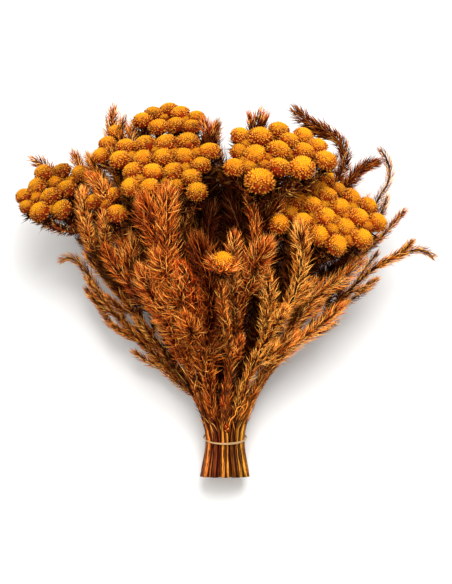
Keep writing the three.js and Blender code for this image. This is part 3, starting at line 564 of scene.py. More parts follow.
# Materials: how a needle's root, tip and painted shade differ from its own colour, how fine its
# mottle is, a mix node's sockets for colours, and how nodes are laid out in rows. The darker root
# is partly painted shade where the needles crowd on the twig, and the lighter tip partly a painted
# highlight.
NEEDLE_TONES = {
    "root": (0.12, 0.05, 0.03), "tip": (1.3, 1.3, 1.3), "straw": (1.0, 0.40, 0.075), "straw_share": 0.5,
    "shaded_colour": (0.032, 0.007, 0), "shaded_base": (0.008, 0.001, 0.0004),
}
MOTTLE = 260.0
MIX_SOCKETS = {"factor": 0, "one": 6, "two": 7, "result": 2}
NODE_ROWS = {"long": 8, "across": 200, "left": 1200, "down": 300}

# The stage, in metres, and the photo's frame round the bunch, in the tables' millimetres.
STAGE = {"floor": 12, "under": 0.0004, "aim": (0, 0, 0.05), "sky": (1, 0.985, 0.96)}
LAMPS = (
    ("key_light", (0.25, 1.15, 2.1), 1.3, 1.0),
    ("top_light", (-0.3, 0.3, 2.3), 2.6, 0.6),
)
VIEW = {"middle": (0.65, 122.2), "tall": 379.6, "depth": 60, "sensor": 24}


# Routes
def unit(vectors):
    """Vectors at length one."""
    vectors = np.asarray(vectors, float)
    return vectors / np.linalg.norm(vectors, axis=-1, keepdims=True)


def even_points(through, step):
    """The smooth curve through some points, as points an even step apart."""
    p = np.asarray(through, float)
    p = np.vstack([2 * p[0] - p[1], p, 2 * p[-1] - p[-2]])
    t = (np.arange(CURVE_DETAIL) / CURVE_DETAIL)[:, None]
    dense = []
    for before, start, end, after in zip(p, p[1:], p[2:], p[3:]):
        a, b = 0.5 * (end - before), 0.5 * (after - start)
        square = (3 * (end - start) - 2 * a - b) * t**2
        cube = (2 * (start - end) + a + b) * t**3
        dense.append(start + a * t + square + cube)
    dense = np.vstack([*dense, p[-2:-1]])
    along = np.r_[0, np.cumsum(np.linalg.norm(np.diff(dense, axis=0), axis=1))]
    count = max(2, math.floor(along[-1] / step + 0.5))
    wanted = np.linspace(0, along[-1], count + 1)
    return np.column_stack([np.interp(wanted, along, dense[:, k]) for k in range(3)])


def place_in_bundle(stem, level, tilt):
    """Where a stem passes a level of the bundle: at the cut, in the band or at the neck."""
    radius = RINGS[stem["ring"]] * level["spread"]
    turn = math.radians(stem["turn"])
    up = radius * math.sin(turn)
    return [radius * math.cos(turn), level["y"] - up * math.sin(tilt), level["z"] + up * math.cos(tilt)]


def heads_of(corymb):
    """The heads of a corymb, as centres and radii."""
    if "heads" in corymb:
        disc = corymb["disc"]
        heads = []
        for x, y, radius in corymb["heads"]:
            z = disc["z"] + disc["tilt"] * (y - disc["y"]) - disc["dome"] * (x - disc["x"]) ** 2
            heads.append((np.array([x, y, z], float), radius))
        return heads
    facing = unit(corymb["facing"])
    side = unit(np.cross(facing, [0, 0, 1]))
    rise = np.cross(side, facing)
    heads = []
    for i in range(corymb["count"]):
        reach = corymb["reach"] * math.sqrt((i + HIDDEN_HEADS["first_reach"]) / corymb["count"])
        turn = i * GOLDEN_ANGLE
        at = np.array(corymb["centre"], float) + side * reach * math.cos(turn)
        at += rise * reach * math.sin(turn) - facing * reach * reach * HIDDEN_HEADS["droop"]
        heads.append((at, HIDDEN_HEADS["radius"] - (HIDDEN_HEADS["smaller"] if i % 3 == 1 else 0)))
    return heads


def spread_heads(heads):
    """Heads pushed apart until none cuts into another, mostly towards or away from the eye above."""
    across = np.array([HEAD_SPREAD["across"]] * 2 + [1 / HEAD_SPREAD["across"]])
    pairs = []
    for i, one in enumerate(heads):
        for two in heads[i + 1 :]:
            room = HEAD_SPREAD["room" if one["node"] == two["node"] else "room_between_corymbs"]
            wanted = one["radius"] + two["radius"] + room
            if np.linalg.norm(one["at"] - two["at"]) < wanted + HEAD_SPREAD["near"]:
                pairs.append((one["at"], two["at"], wanted))
    for _ in range(HEAD_SPREAD["rounds"]):
        for one, two, wanted in pairs:
            away = one - two
            apart = math.sqrt(away[0] ** 2 + away[1] ** 2 + away[2] ** 2)
            if apart < wanted:
                away *= 0.5 * (wanted - apart) / apart * across
                one += away
                two -= away


def all_heads():
    """The heads of the whole bunch. Corymbs that rest are let down onto the table."""
    heads = []
    for node, corymb in CORYMBS.items():
        detail = 1 if "heads" in corymb else HIDDEN_HEADS["detail"]
        for at, radius in heads_of(corymb):
            heads.append({"node": node, "at": at, "radius": radius, "detail": detail})
    spread_heads(heads)
    for node, corymb in CORYMBS.items():
        if corymb.get("rests"):
            own = [head for head in heads if head["node"] == node]
            lowest = min(head["at"][2] - head["radius"] for head in own)
            for head in own:
                head["at"][2] -= lowest + REST_DEPTH
    return heads


def stalk_points(base, heading, head, parts):
    """A stalk's points: away from the top of its stem, then up into its head from below."""
    reach = np.linalg.norm(base - head["at"])
    bend = head["at"] - heading * reach * STALK["bend"]
    t = np.linspace(0, 1, parts + 1)[:, None]
    return (1 - t) ** 2 * base + 2 * t * (1 - t) * bend + t**2 * head["at"]


def new_route(node, kind, points, given, usual, **more):
    """A route with what its table gives it, or else its usual look and light."""
    return {
        "node": node, "kind": kind, "points": points, "flowers": given.get("flowers"),
        "look": given.get("look", usual["look"]), "lit": given.get("lit", usual["lit"]),
        "flush": given.get("flush", 0), "shade": given.get("shade", 0), **more,
    }


def add_stalks(routes, heads, tops, name, way):
    """The routes of a corymb's stalks, from the top of the way that bears it."""
    heading = unit(np.subtract(way[-1], way[-2]))
    base = np.array(way[-1], float) + heading * (KNOB_RADIUS + GAP)
    tops[name] = (base, heading)
    for head in heads:
        if head["node"] == name:
            points = stalk_points(base, heading, head, STALK["route_parts"])
            routes.append({"node": name, "kind": "stalk", "points": points, "flowers": None})


def first_routes():
    """The routes of all stems, shoots and stalks, before anything is pushed clear."""
    routes, heads, tops = [], all_heads(), {}
    for name, stem in STEMS.items():
        through = [
            place_in_bundle(stem, CUT, 0),
            place_in_bundle(stem, TIE, TIE_TILT),
            place_in_bundle(stem, NECK, TIE_TILT),
            *stem["way"],
        ]
        main = new_route(name, "stem", even_points(through, ROUTE["step"]), stem, USUAL)
        routes.append(main)
        if main["flowers"]:
            add_stalks(routes, heads, tops, main["flowers"], stem["way"])
        for shoot in stem["shoots"]:
            root = math.floor(shoot["from"] * (len(main["points"]) - 1) + 0.5)
            points = even_points([main["points"][root], *shoot["way"]], ROUTE["step"])
            routes.append(new_route(name, "shoot", points, shoot, main, parent=main, root=root))
            if shoot.get("flowers"):
                add_stalks(routes, heads, tops, shoot["flowers"], shoot["way"])
    return routes, heads, tops


def looseness(route):
    """How freely each point of a route may be moved, from 0 to 1."""
    last = len(route["points"]) - 1
    i = np.arange(last + 1)
    if route["kind"] == "stalk":
        return np.zeros(last + 1)
    if route["kind"] == "shoot":
        held = (i > last - ROUTE["root_steps"]) & bool(route["flowers"])
        return np.where(held, 0, np.minimum(1, i / ROUTE["root_steps"]))
    above = np.clip((i * ROUTE["step"] - ROUTE["bound"]) / ROUTE["loosen"], 0, 1)
    below = np.minimum(1, (last - i) / ROUTE["top_steps"]) if route["flowers"] else 1
    return above * below


def push_apart(at, reach, loose, meets):
    """How far each point is pushed by the points of other stems that come too near."""
    push = np.zeros_like(at)
    square = (at**2).sum(1)
    apart = np.sqrt(np.maximum(square[:, None] + square[None] - 2 * at @ at.T, 0))
    a, b = np.nonzero(meets & (apart < reach[:, None] + reach[None]))
    away = at[a] - at[b]
    gap = np.linalg.norm(away, axis=1)
    step = 0.5 * (reach[a] + reach[b] - gap) / (gap + ROUTE["tiny"]) / (loose[a] + loose[b])
    np.add.at(push, a, away * (step * loose[a])[:, None])
    np.add.at(push, b, -away * (step * loose[b])[:, None])
    return push


def push_from_heads(at, reach, head_at, head_radius, held):
    """How far each point is pushed by the heads, but for those that hold it."""
    away = at[:, None] - head_at[None]
    gap = np.linalg.norm(away, axis=2)
    short = np.where(held, 0, np.maximum(0, head_radius[None] + reach[:, None] - gap))
    return (away * (short / (gap + ROUTE["tiny"]))[:, :, None]).sum(1)


def settled_routes():
    """Routes pushed apart little by little, so that no stem or shoot crosses another one or a head."""
    routes, heads, tops = first_routes()
    counts = [len(route["points"]) for route in routes]
    starts = np.r_[0, np.cumsum(counts)]
    at = np.vstack([route["points"] for route in routes])
    loose = np.concatenate([looseness(route) for route in routes])
    owner = np.repeat(np.arange(len(routes)), counts)
    names = {name: k for k, name in enumerate([*STEMS, *CORYMBS])}
    node = np.array([names[route["node"]] for route in routes])[owner]
    along = np.concatenate([np.arange(count) * ROUTE["step"] for count in counts])
    stem = np.array([route["kind"] == "stem" for route in routes])[owner]
    wood = stem & (along < ROUTE["wood_end"])
    radius = np.where(wood, WOOD_RADIUS, SHOOT_RADIUS)
    room = np.where(wood, ROUTE["wood_room"], ROUTE["leaf_room"])
    reach = radius + room
    meets = (node[:, None] != node[None]) & (loose[:, None] + loose[None] > 0)
    meets &= np.tri(len(at), k=-1, dtype=bool).T
    head_at = np.array([head["at"] for head in heads])
    head_radius = np.array([head["radius"] for head in heads])
    head_node = np.array([names[head["node"]] for head in heads])
    own_head = np.array([names[r["flowers"]] if r["flowers"] else -1 for r in routes])[owner]
    held = (own_head[:, None] == head_node[None]) | (loose == 0)[:, None]
    first = np.isin(np.arange(len(at)), starts[:-1])
    last = np.isin(np.arange(len(at)), starts[1:] - 1)
    roots = [
        (starts[k], starts[routes.index(route["parent"])] + route["root"])
        for k, route in enumerate(routes) if "parent" in route
    ]
    for _ in range(ROUTE["rounds"]):
        push = push_apart(at, reach, loose, meets)
        push += push_from_heads(at, reach, head_at, head_radius, held)
        low = np.maximum(0, radius + ROUTE["floor"] - at[:, 2])
        push[:, 2] += np.where(loose > 0, low, 0)
        before = np.where(first[:, None], push, np.roll(push, 1, axis=0))
        after = np.where(last[:, None], push, np.roll(push, -1, axis=0))
        at += (0.5 * push + 0.25 * before + 0.25 * after) * loose[:, None]
        for own, parent in roots:
            at[own] = at[parent]
    for k, route in enumerate(routes):
        route["points"] = at[starts[k] : starts[k + 1]]
    return routes, heads, tops


def frames_along(points):
    """The tangent, side and over of a frame at each point, carried along without twisting."""
    tangents = unit(np.vstack([points[1] - points[0], points[2:] - points[:-2], points[-1] - points[-2]]))
    side = np.array([1.0, 0, 0])
    sides = []
    for tangent in tangents:
        side = unit(side - tangent * (side @ tangent))
        sides.append(side)
    sides = np.array(sides)
    return tangents, sides, np.cross(tangents, sides)


# Where the bunch lies, and what its pieces grow along
def tie_centre():
    """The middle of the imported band, in the tables' millimetres, to find where the bunch was set down."""
    low, high = (np.array(corner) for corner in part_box("tie_band"))
    return (low + high) / 2 / MM


SHIFT = tie_centre() - np.array([0, TIE["y"], TIE["z"]])
BOX = np.array(CAD_BOX) / MM - SHIFT
CEILING = CAD_BOX[1][2] / MM - SHIFT[2] + ABOVE_BOX
ROUTES, HEADS, TOPS = settled_routes()
ROOF = np.vstack(
    [route["points"] for route in ROUTES] + [head["at"] + [0, 0, head["radius"]] for head in HEADS]
)


# Shapes modelled once, then copied
def numbers(parts, key, width=None):
    """What the parts of a mesh hold under a key: one whole number each, or a row as wide as given."""
    values = np.empty(len(parts) * (width or 1), float if width else int)
    parts.foreach_get(key, values)
    return values.reshape(-1, width) if width else values


class Shape:
    """A finished model's points and faces, ready to be copied. Faces on the ground have slot 1."""

    def __init__(self, obj):
        mesh = obj.data
        self.co = numbers(mesh.vertices, "co", 3)
        self.loops = numbers(mesh.loops, "vertex_index")
        self.sizes = numbers(mesh.polygons, "loop_total")
        self.slots = (numbers(mesh.polygons, "center", 3)[:, 2] < LEVEL).astype(int)
        bpy.data.objects.remove(obj)
        bpy.data.meshes.remove(mesh)


def begin(add, **how):
    """A primitive, alone and in edit mode."""
    bpy.ops.object.select_all(action="DESELECT")
    add(**how)
    bpy.ops.object.mode_set(mode="EDIT")
    return bpy.context.object


def end(obj):
    """The edited primitive, out of edit mode, with its faces outwards."""
    bpy.ops.mesh.select_all(action="SELECT")
    bpy.ops.mesh.normals_make_consistent(inside=False)
    bpy.ops.object.mode_set(mode="OBJECT")
    bpy.ops.object.transform_apply(location=True, rotation=True, scale=True)
    return obj


def pick(obj, kind, test):
    """Selects only the vertices, edges or faces that pass a test."""
    bpy.ops.mesh.select_mode(type=kind)
    bpy.ops.mesh.select_all(action="DESELECT")
    mesh = bmesh.from_edit_mesh(obj.data)
    for part in {"VERT": mesh.verts, "EDGE": mesh.edges, "FACE": mesh.faces}[kind]:
        if test(part):
            part.select_set(True)
    bmesh.update_edit_mesh(obj.data)


def cut_across(height):
    """One ring of edges round the whole of what is edited."""
    bpy.ops.mesh.select_all(action="SELECT")
    bpy.ops.mesh.bisect(plane_co=(0, 0, height), plane_no=(0, 0, 1))


def widen(obj, height, times):
    """Makes the ring at a height wider or narrower."""
    level = height - obj.location.z
    pick(obj, "VERT", lambda vert: abs(vert.co.z - level) < LEVEL)
    bpy.ops.transform.resize(value=(times, times, 1), center_override=(0, 0, height))


def cone(sides, radius):
    """A cone one unit high, in edit mode."""
    return begin(
        bpy.ops.mesh.primitive_cone_add, vertices=sides, radius1=radius, radius2=0, depth=1,
        location=(0, 0, 0.5),
    )


def needle_shape(rings):
    """A three-sided needle leaf, one unit long and wide: narrow at the root, fullest low down.

    rings are the heights at which it is widened, each with how many times.
    """
    obj = cone(3, 0.5)
    for height, times in rings:
        cut_across(height)
        widen(obj, height, times)
    widen(obj, 0, NEEDLE_ROOT)
    return Shape(end(obj))


def spine_shape():
    """The plainest leaf, for the dark undergrowth: three sides that run to a point."""
    return Shape(end(cone(3, 0.5)))


def floret_shape():
    """A four-sided floret bud, one unit high."""
    return Shape(end(cone(4, 1)))


def core_shape(detail):
    """The ball that a head's florets stand on."""
    return Shape(end(begin(bpy.ops.mesh.primitive_ico_sphere_add, subdivisions=detail, radius=1)))


def blade_shape():
    """A thin oval dry leaf, cupped in its middle and drawn out to a tip."""
    obj = begin(
        bpy.ops.mesh.primitive_cylinder_add, vertices=BLADE["sides"], radius=0.5, depth=BLADE["thick"],
        location=(0, 0, BLADE["thick"] / 2), end_fill_type="TRIFAN",
    )
    pick(obj, "VERT", lambda vert: vert.co.x**2 + vert.co.y**2 < BLADE["middle"] ** 2)
    bpy.ops.transform.translate(value=BLADE["cup"])
    pick(obj, "VERT", lambda vert: vert.co.y > BLADE["end"])
    bpy.ops.transform.translate(value=BLADE["tip"])
    return Shape(end(obj))


def rod_shape(sides, parts):
    """A straight rod, one unit long and one in radius, with a ringed end to show where it is cut."""
    obj = begin(
        bpy.ops.mesh.primitive_cylinder_add, vertices=sides, radius=1, depth=1, location=(0, 0, 0.5)
    )
    pick(obj, "EDGE", lambda edge: abs(edge.verts[0].co.z - edge.verts[1].co.z) > 0.5)
    bpy.ops.mesh.subdivide(number_cuts=parts - 1)
    pick(obj, "FACE", lambda face: face.calc_center_median().z < LEVEL - 0.5)
    for thickness in CUT_RINGS:
        bpy.ops.mesh.inset(thickness=thickness)
    return Shape(end(obj))


class Pile:
    """Copies of shapes, gathered into the mesh of one piece."""

    def __init__(self):
        self.parts = {"co": [], "growth": [], "grain": [], "loops": [], "sizes": [], "slots": []}
        self.count = 0

    def add(self, shape, co, slot, growth, grain=None):
        """Adds copies of a shape, with the points of each in the shape's order.

        slot is one for all faces, or one for each face of the shape. growth holds three numbers for
        each point: how far along it is, how light and how shaded. grain holds three more.
        """
        co = np.reshape(co, (-1, len(shape.co), 3))
        copies, points = co.shape[:2]
        firsts = self.count + np.arange(copies) * points
        self.count += copies * points
        growth = [np.broadcast_to(value, (copies, points)) for value in growth]
        grain = np.zeros((copies * points, 3)) if grain is None else np.reshape(grain, (-1, 3))
        slots = slot if np.ndim(slot) else np.full(len(shape.sizes), slot)
        self.parts["co"].append(co.reshape(-1, 3))
        self.parts["growth"].append(np.stack(growth, axis=2).reshape(-1, 3))
        self.parts["grain"].append(grain)
        self.parts["loops"].append((shape.loops[None] + firsts[:, None]).ravel())
        self.parts["sizes"].append(np.tile(shape.sizes, copies))
        self.parts["slots"].append(np.tile(slots, copies))

    def piece(self, name, materials, node):
        """The mesh as a piece of the scene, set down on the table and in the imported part's place."""
        parts = {key: np.concatenate(values) for key, values in self.parts.items()}
        co = (parts["co"] + SHIFT) * MM
        co[:, 2] = np.maximum(co[:, 2], 0)
        mesh = bpy.data.meshes.new(name)
        mesh.vertices.add(len(co))
        mesh.vertices.foreach_set("co", co.ravel())
        mesh.loops.add(len(parts["loops"]))
        mesh.loops.foreach_set("vertex_index", parts["loops"])
        mesh.polygons.add(len(parts["sizes"]))
        mesh.polygons.foreach_set("loop_start", np.r_[0, np.cumsum(parts["sizes"])[:-1]])
        for material in materials:
            mesh.materials.append(material)
        mesh.polygons.foreach_set("material_index", parts["slots"].astype(np.int32))
        mesh.update(calc_edges=True)
        mesh.shade_smooth()
        for key in ("growth", "grain"):
            attribute = mesh.attributes.new(key, "FLOAT_VECTOR", "POINT")
            attribute.data.foreach_set("vector", parts[key].ravel())
        obj = bpy.data.objects.new(name, mesh)
        bpy.context.scene.collection.objects.link(obj)
        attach(obj, "root")
        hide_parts(node)
        return obj


# Growing pieces along their routes
def lengths_along(points):
    """How far along a route each of its points lies."""
    return np.r_[0, np.cumsum(np.linalg.norm(np.diff(points, axis=0), axis=1))]


def blended(wanted, known, values):
    """Vectors known at some places, blended at the wanted places."""
    return np.column_stack([np.interp(wanted, known, values[:, k]) for k in range(3)])


class Way:
    """A route with the frames along it, to be read at any length from its root."""

    def __init__(self, points):
        self.points = points
        self.tangents, self.sides, self.overs = frames_along(points)
        self.known = lengths_along(points)
        self.whole = self.known[-1]

    def at(self, s):
        """The places at some lengths."""
        return blended(s, self.known, self.points)

    def tangent(self, s):
        """The directions of the route at some lengths."""
        return unit(blended(s, self.known, self.tangents))

    def across(self, s, side, over):
        """Steps away from the route at some lengths, by so much to its side and so much over it."""
        co = blended(s, self.known, self.sides) * side
        co += blended(s, self.known, self.overs) * over
        return co

    def out(self, s, turn):
        """Directions away from the route at some lengths, each with its turn round it."""
        return self.across(s, np.cos(turn)[:, None], np.sin(turn)[:, None])


def square_to(axes, vectors):
    """Vectors at length one, turned square to their axes."""
    return unit(vectors - axes * (vectors * axes).sum(1, keepdims=True))


def add_rod(pile, shape, points, radii, tint, stations=None, slots=(0, 1), wood=False):
    """A rod along a route, with its radii at some stations, or else at its two ends.

    The wood at the foot of a stem is ribbed, and cut off square to the bunch.
    """
    way = Way(points)
    z = shape.co[:, 2] * way.whole
    thick = np.interp(z, stations or (0, way.whole), radii)
    rib = np.full(len(z), RIBS["plain"])
    if wood:
        turn = np.arctan2(shape.co[:, 1], shape.co[:, 0])
        rib = 0.5 + 0.5 * np.cos(RIBS["count"] * turn + RIBS["twist"] * z + RIBS["start"] * tint)
        thick *= 1 - RIBS["depth"] * (1 - rib)
        rib *= np.interp(z, RIBS["fade"], RIBS["left"])
    across = shape.co[:, :2] * thick[:, None]
    co = way.at(z) + blended(z, way.known, way.sides) * across[:, :1]
    co += blended(z, way.known, way.overs) * across[:, 1:]
    if wood:
        low = z < LEVEL
        co[low] -= way.tangents[0] * (co[low, 1:2] / way.tangents[0][1])
    reach = np.hypot(shape.co[:, 0], shape.co[:, 1])
    grain = np.column_stack([across, z])
    pile.add(shape, co, np.where(shape.slots == 1, slots[1], slots[0]), (reach, tint, rib), grain)


def clear_of_heads(places, heads, share):
    """Which of some places lie outside every head, with its radius taken at a share."""
    at = np.array([head["at"] for head in heads])
    radius = np.array([head["radius"] for head in heads])
    return (np.linalg.norm(places[:, None] - at[None], axis=2) > radius[None] * share).all(1)


def add_needles(
    pile, shape, slot, heads=(), *, roots, headings, outs, lengths, width, bow, curl, tint, shade, flush=0.0
):
    """Needles from their roots, each bowed back towards its twig and curled to a side.

    Those that would run into a head or through the ceiling are left out.
    """
    outs = square_to(headings, outs)
    over = np.cross(headings, outs)
    tips = roots + headings * lengths[:, None] - outs * (bow * lengths)[:, None]
    tips += over * (curl * lengths)[:, None]
    keep = np.maximum(tips, roots)[:, 2] < CEILING
    if len(heads):
        keep &= clear_of_heads(tips, heads, NEEDLE_CLEAR)
        keep &= clear_of_heads((roots + tips) / 2, heads, NEEDLE_CLEAR)
    x, y, z = (shape.co[:, k][None, :, None] for k in range(3))
    lengths, bow, curl, width, tint, shade, flush = (
        np.broadcast_to(value, len(roots))[:, None, None]
        for value in (lengths, bow, curl, width, tint, shade, flush)
    )
    co = roots[:, None] + headings[:, None] * z * lengths
    co = co + outs[:, None] * (x * width - bow * lengths * z**2)
    co = co + over[:, None] * (y * width + curl * lengths * z**2)
    along, tint, shade, flush = (
        np.broadcast_to(value, (*co.shape[:2], 1))[keep, :, 0] for value in (z, tint, shade, flush)
    )
    grain = np.stack([flush, tint, along], axis=2)
    pile.add(shape, co[keep], slot, (along, tint, shade), grain)


def spray_points(start, through, points):
    """A spray's route, from its start at a share of its stem's way through points of its own."""
    known = lengths_along(points)
    root = blended([start * known[-1]], known, points)[0]
    return even_points([root, *through], GROWN_STEP)


def hollow_at(points):
    """How much painted shade some points get in the bunch's hollows, and which of them lie over a hollow."""
    deep, over = np.zeros(len(points)), np.zeros(len(points), bool)
    for hollow in HOLLOWS:
        across = np.linalg.norm((points[:, :2] - hollow["at"]) / hollow["reach"], axis=1)
        low = points[:, 2] < hollow["below"]
        deep = np.maximum(deep, np.interp(across, HOLLOW_EDGE, [hollow["shade"], 0]) * low)
        over |= (across < HOLLOW_EDGE[1]) & ~low
    return deep, over


def shade_at(points):
    """How deep in the bunch some points lie: 0 near its upper surface, 1 far below it."""
    across = np.linalg.norm(points[:, None, :2] - ROOF[None, :, :2], axis=2)
    above = np.where(across < SHADE["near"], ROOF[None, :, 2], 0).max(1) - points[:, 2]
    return np.clip((above - SHADE["from"]) / SHADE["over"], 0, 1)


def depth_share(points):
    """How many of its needles a twig gets: more near the upper surface, fewer deep in the bunch."""
    return np.interp(shade_at(points).mean(), DENSITY["depth"], DENSITY["share"])


def needle_shade(way, s, risen, look, rng):
    """How much painted shade needles get: by depth in the bunch and their twig, and most in a hollow."""
    shade = np.interp(s, way.known, shade_at(way.points)) * (SHADE["lit"] if look.get("lit") else 1)
    shade = np.maximum(look.get("shade", 0), np.maximum(shade, LOW_LEAVES["shade"] * (1 - risen)))
    shade = np.clip(shade + rng.uniform(-STRAY["shade"], STRAY["shade"], len(s)), 0, 1)
    return np.maximum(shade, np.interp(s, way.known, hollow_at(way.points)[0]))


def clothe(pile, shape, points, seat, look, rng, slot, heads=(), start=0, rise=0):
    """Needles all round a route, in a spiral that closes over its tip.

    The first ones lie close, and they lift to their full spread over the length of rise.
    """
    way = Way(points)
    count = int((way.whole - start) * look["per_mm"])
    if count < FEWEST_NEEDLES:
        return
    order = np.arange(count)
    share = ((order + STRAY["place"] * rng.random(count)) / count) ** TIP["crowd"]
    s = start + (way.whole - start) * share
    turn = order * GOLDEN_ANGLE + STRAY["turn"] * rng.random(count)
    risen = np.clip((s - start) / rise, 0, 1) if rise else np.ones(count)
    tangent = way.tangent(s)
    out = square_to(tangent, way.out(s, turn))
    tip = np.clip(1 - (way.whole - s) / (TIP["reach"] * look["length"]), 0, 1)
    lift = look["lift"] * rng.uniform(*STRAY["lift"], count) * (1 - TIP["close"] * tip)
    lift = LOW_LEAVES["lift"] + (lift - LOW_LEAVES["lift"]) * risen
    sway = rng.uniform(-STRAY["sway"], STRAY["sway"], count)
    heading = tangent * np.cos(lift)[:, None] + out * np.sin(lift)[:, None]
    heading = unit(heading + np.cross(tangent, out) * sway[:, None])
    swell = np.interp(way.whole - s, SWELL["from_tip"], SWELL["share"])
    lengths = look["length"] * swell * rng.uniform(*STRAY["length"], count) * (1 - TIP["short"] * tip)
    lengths = np.maximum(lengths, LOW_LEAVES["length"] * (1 - risen))
    shade = needle_shade(way, s, risen, look, rng)
    # The low needles on a stem are dimmed: painted shade.
    light = 1 - LOW_LEAVES["dim"] + LOW_LEAVES["dim"] * risen
    add_needles(
        pile, shape, slot, heads, roots=way.at(s) + out * (seat * NEEDLE_SEAT), headings=heading, outs=out,
        lengths=lengths, width=look["width"] * rng.uniform(*STRAY["width"], count),
        bow=look["bow"] * rng.uniform(*STRAY["bow"], count) * risen, curl=rng.normal(0, STRAY["curl"], count),
        tint=np.clip(rng.random(count) + look.get("bright", 0), 0, 1) * light, shade=shade,
        flush=look.get("flush", 0),
    )


def twig_points(at, tangent, out, reach, kind):
    """A side twig's root, middle and tip: it leaves its stem at a slant, and bends back along it."""
    first = unit(tangent * math.cos(kind["lift"]) + out * math.sin(kind["lift"]))
    middle = at + first * reach * kind["middle"]
    tip = middle + unit(first * kind["spread"] + tangent) * reach * (1 - kind["middle"])
    return np.array([at, middle, tip])


def has_room(tip, kind):
    """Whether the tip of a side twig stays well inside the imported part's box."""
    return (tip > BOX[0] + SPRIG["margin"]).all() and (tip < BOX[1] - kind["margin"]).all()


def sprigs_along(points, last, step, rng):
    """Short side twigs that a stem bears up to the place of the last, as routes of their own."""
    way, sprigs = Way(points), []
    turn = rng.uniform(0, ROUND)
    s = SPRIG["start"]
    while s < last:
        turn += GOLDEN_ANGLE
        out = way.across([s], math.cos(turn), math.sin(turn))[0]
        reach = SPRIG["length"] * rng.uniform(*STRAY["twig"])
        twig = twig_points(way.at([s])[0], way.tangent([s])[0], out, reach, SPRIG)
        if has_room(twig[2], SPRIG) and clear_of_heads(twig[1:], HEADS, SPRIG["clear"]).all():
            sprigs.append(even_points(twig, GROWN_STEP))
        s += step * rng.uniform(*STRAY["step"])
    return sprigs


def undergrowth_along(points, rng):
    """Leafy twigs that lean from a stem towards the middle of the bunch, as routes of their own.

    Only those are kept that lie deep in the bunch, and over no hollow.
    """
    way, twigs = Way(points), []
    s = UNDER["start"] + rng.uniform(0, UNDER["step"])
    while s < way.whole:
        at = way.at([s])[0]
        inward = unit(np.array([-at[0], 0, UNDER["height"] - at[2]]) + rng.normal(0, UNDER["stray"], 3))
        reach = UNDER["length"] * rng.uniform(*STRAY["twig"])
        twig = twig_points(at, way.tangent([s])[0], inward, reach, UNDER)
        ends = np.array([*twig[1:], twig[2] + unit(twig[2] - twig[1]) * UNDER["beyond"]])
        deep = shade_at(ends).min() > UNDER["deep"] and not hollow_at(ends)[1].any()
        if deep and has_room(twig[2], UNDER):
            twigs.append(even_points(twig, GROWN_STEP))
        s += UNDER["step"] * rng.uniform(*STRAY["step"])
    return twigs


def across_axis(axis, askew=(0.31, 0.17, 0.93)):
    """Two directions at right angles to an axis and to each other. No axis may lie along askew."""
    side = unit(np.cross(axis, askew))
    return side, np.cross(axis, side)


def on_ball(angle, turn):
    """Directions on a ball, by their angle from its top and their turn round it."""
    return np.column_stack([np.sin(angle) * np.cos(turn), np.sin(angle) * np.sin(turn), np.cos(angle)])


def add_florets(pile, shape, at, rows, radius, squash, count, bright, rng):
    """Florets in a close spiral over all but a head's foot, rougher and sparser lower down."""
    order = np.arange(count)
    angle = np.arccos(1 - (order + 0.5) / count * (1 - math.cos(FLORET["end"])))
    angle = angle + rng.uniform(-FLORET["stray"], FLORET["stray"], count)
    turn = order * GOLDEN_ANGLE + rng.uniform(0, ROUND)
    turn = turn + rng.uniform(-FLORET["turn"], FLORET["turn"], count)
    d = on_ball(angle, turn)
    rough = np.clip((angle - FLORET["smooth"]) / FLORET["roughens"], 0, 1)
    gone = FLORET["thin"] * rough + FLORET["behind"] * (d @ rows[:, 2] < FLORET["hidden"])
    keep = rng.random(count) > gone
    angle, d, rough = angle[keep], d[keep], rough[keep]
    count = len(angle)
    higher = rng.uniform(*FLORET["higher"], count) * (FLORET["calm"] + rough)
    height = radius * (FLORET["height"] + higher + FLORET["rough_height"] * rough)
    sway = rng.uniform(-FLORET["sway"], FLORET["sway"], (count, 3)) * (FLORET["calm_sway"] + rough)[:, None]
    lean = unit(d + sway + [0, 0, FLORET["upward"]])
    first, second = across_axis(lean, (0.9, 0.3, 0.2))
    x, y, z = (shape.co[:, i][None, :, None] for i in range(3))
    width = radius * FLORET["width"] * (FLORET["slim"] + FLORET["rough_width"] * rough)
    width = (width * rng.uniform(*FLORET["wide"], count))[:, None, None]
    local = d[:, None] * squash * radius * FLORET["seat"] + lean[:, None] * z * height[:, None, None]
    local = local + first[:, None] * x * width + second[:, None] * y * width
    spread = FLORET["tint"] + FLORET["rough_tint"] * rough
    tint = np.clip(bright + rng.normal(0, 1, count) * spread, 0, 1)[:, None]
    low = np.clip(angle / FLORET["end"] + rng.uniform(-FLORET["low"], FLORET["low"], count), 0, 1)[:, None]
    pile.add(shape, at + local @ rows, 0, (shape.co[:, 2], tint, low))


def drawn(value, count, rng):
    """A value for each of some copies: drawn from a range, or the same for all."""
    return rng.uniform(*value, count) if isinstance(value, tuple) else np.full(count, value)


def add_kind(pile, shape, slot, kind, rng, roots, headings, outs, scale=1):
    """Needles of a kind that a table describes, with its lengths taken times a scale."""
    count = len(roots)
    add_needles(
        pile, shape, slot, roots=roots, headings=headings, outs=outs,
        lengths=scale * drawn(kind["length"], count, rng), width=kind["width"],
        bow=drawn(kind["bow"], count, rng), curl=rng.normal(0, kind["curl"], count) if "curl" in kind else 0,
        tint=rng.uniform(*kind.get("tint", (0, 1)), count), shade=kind["shade"], flush=kind.get("flush", 0),
    )


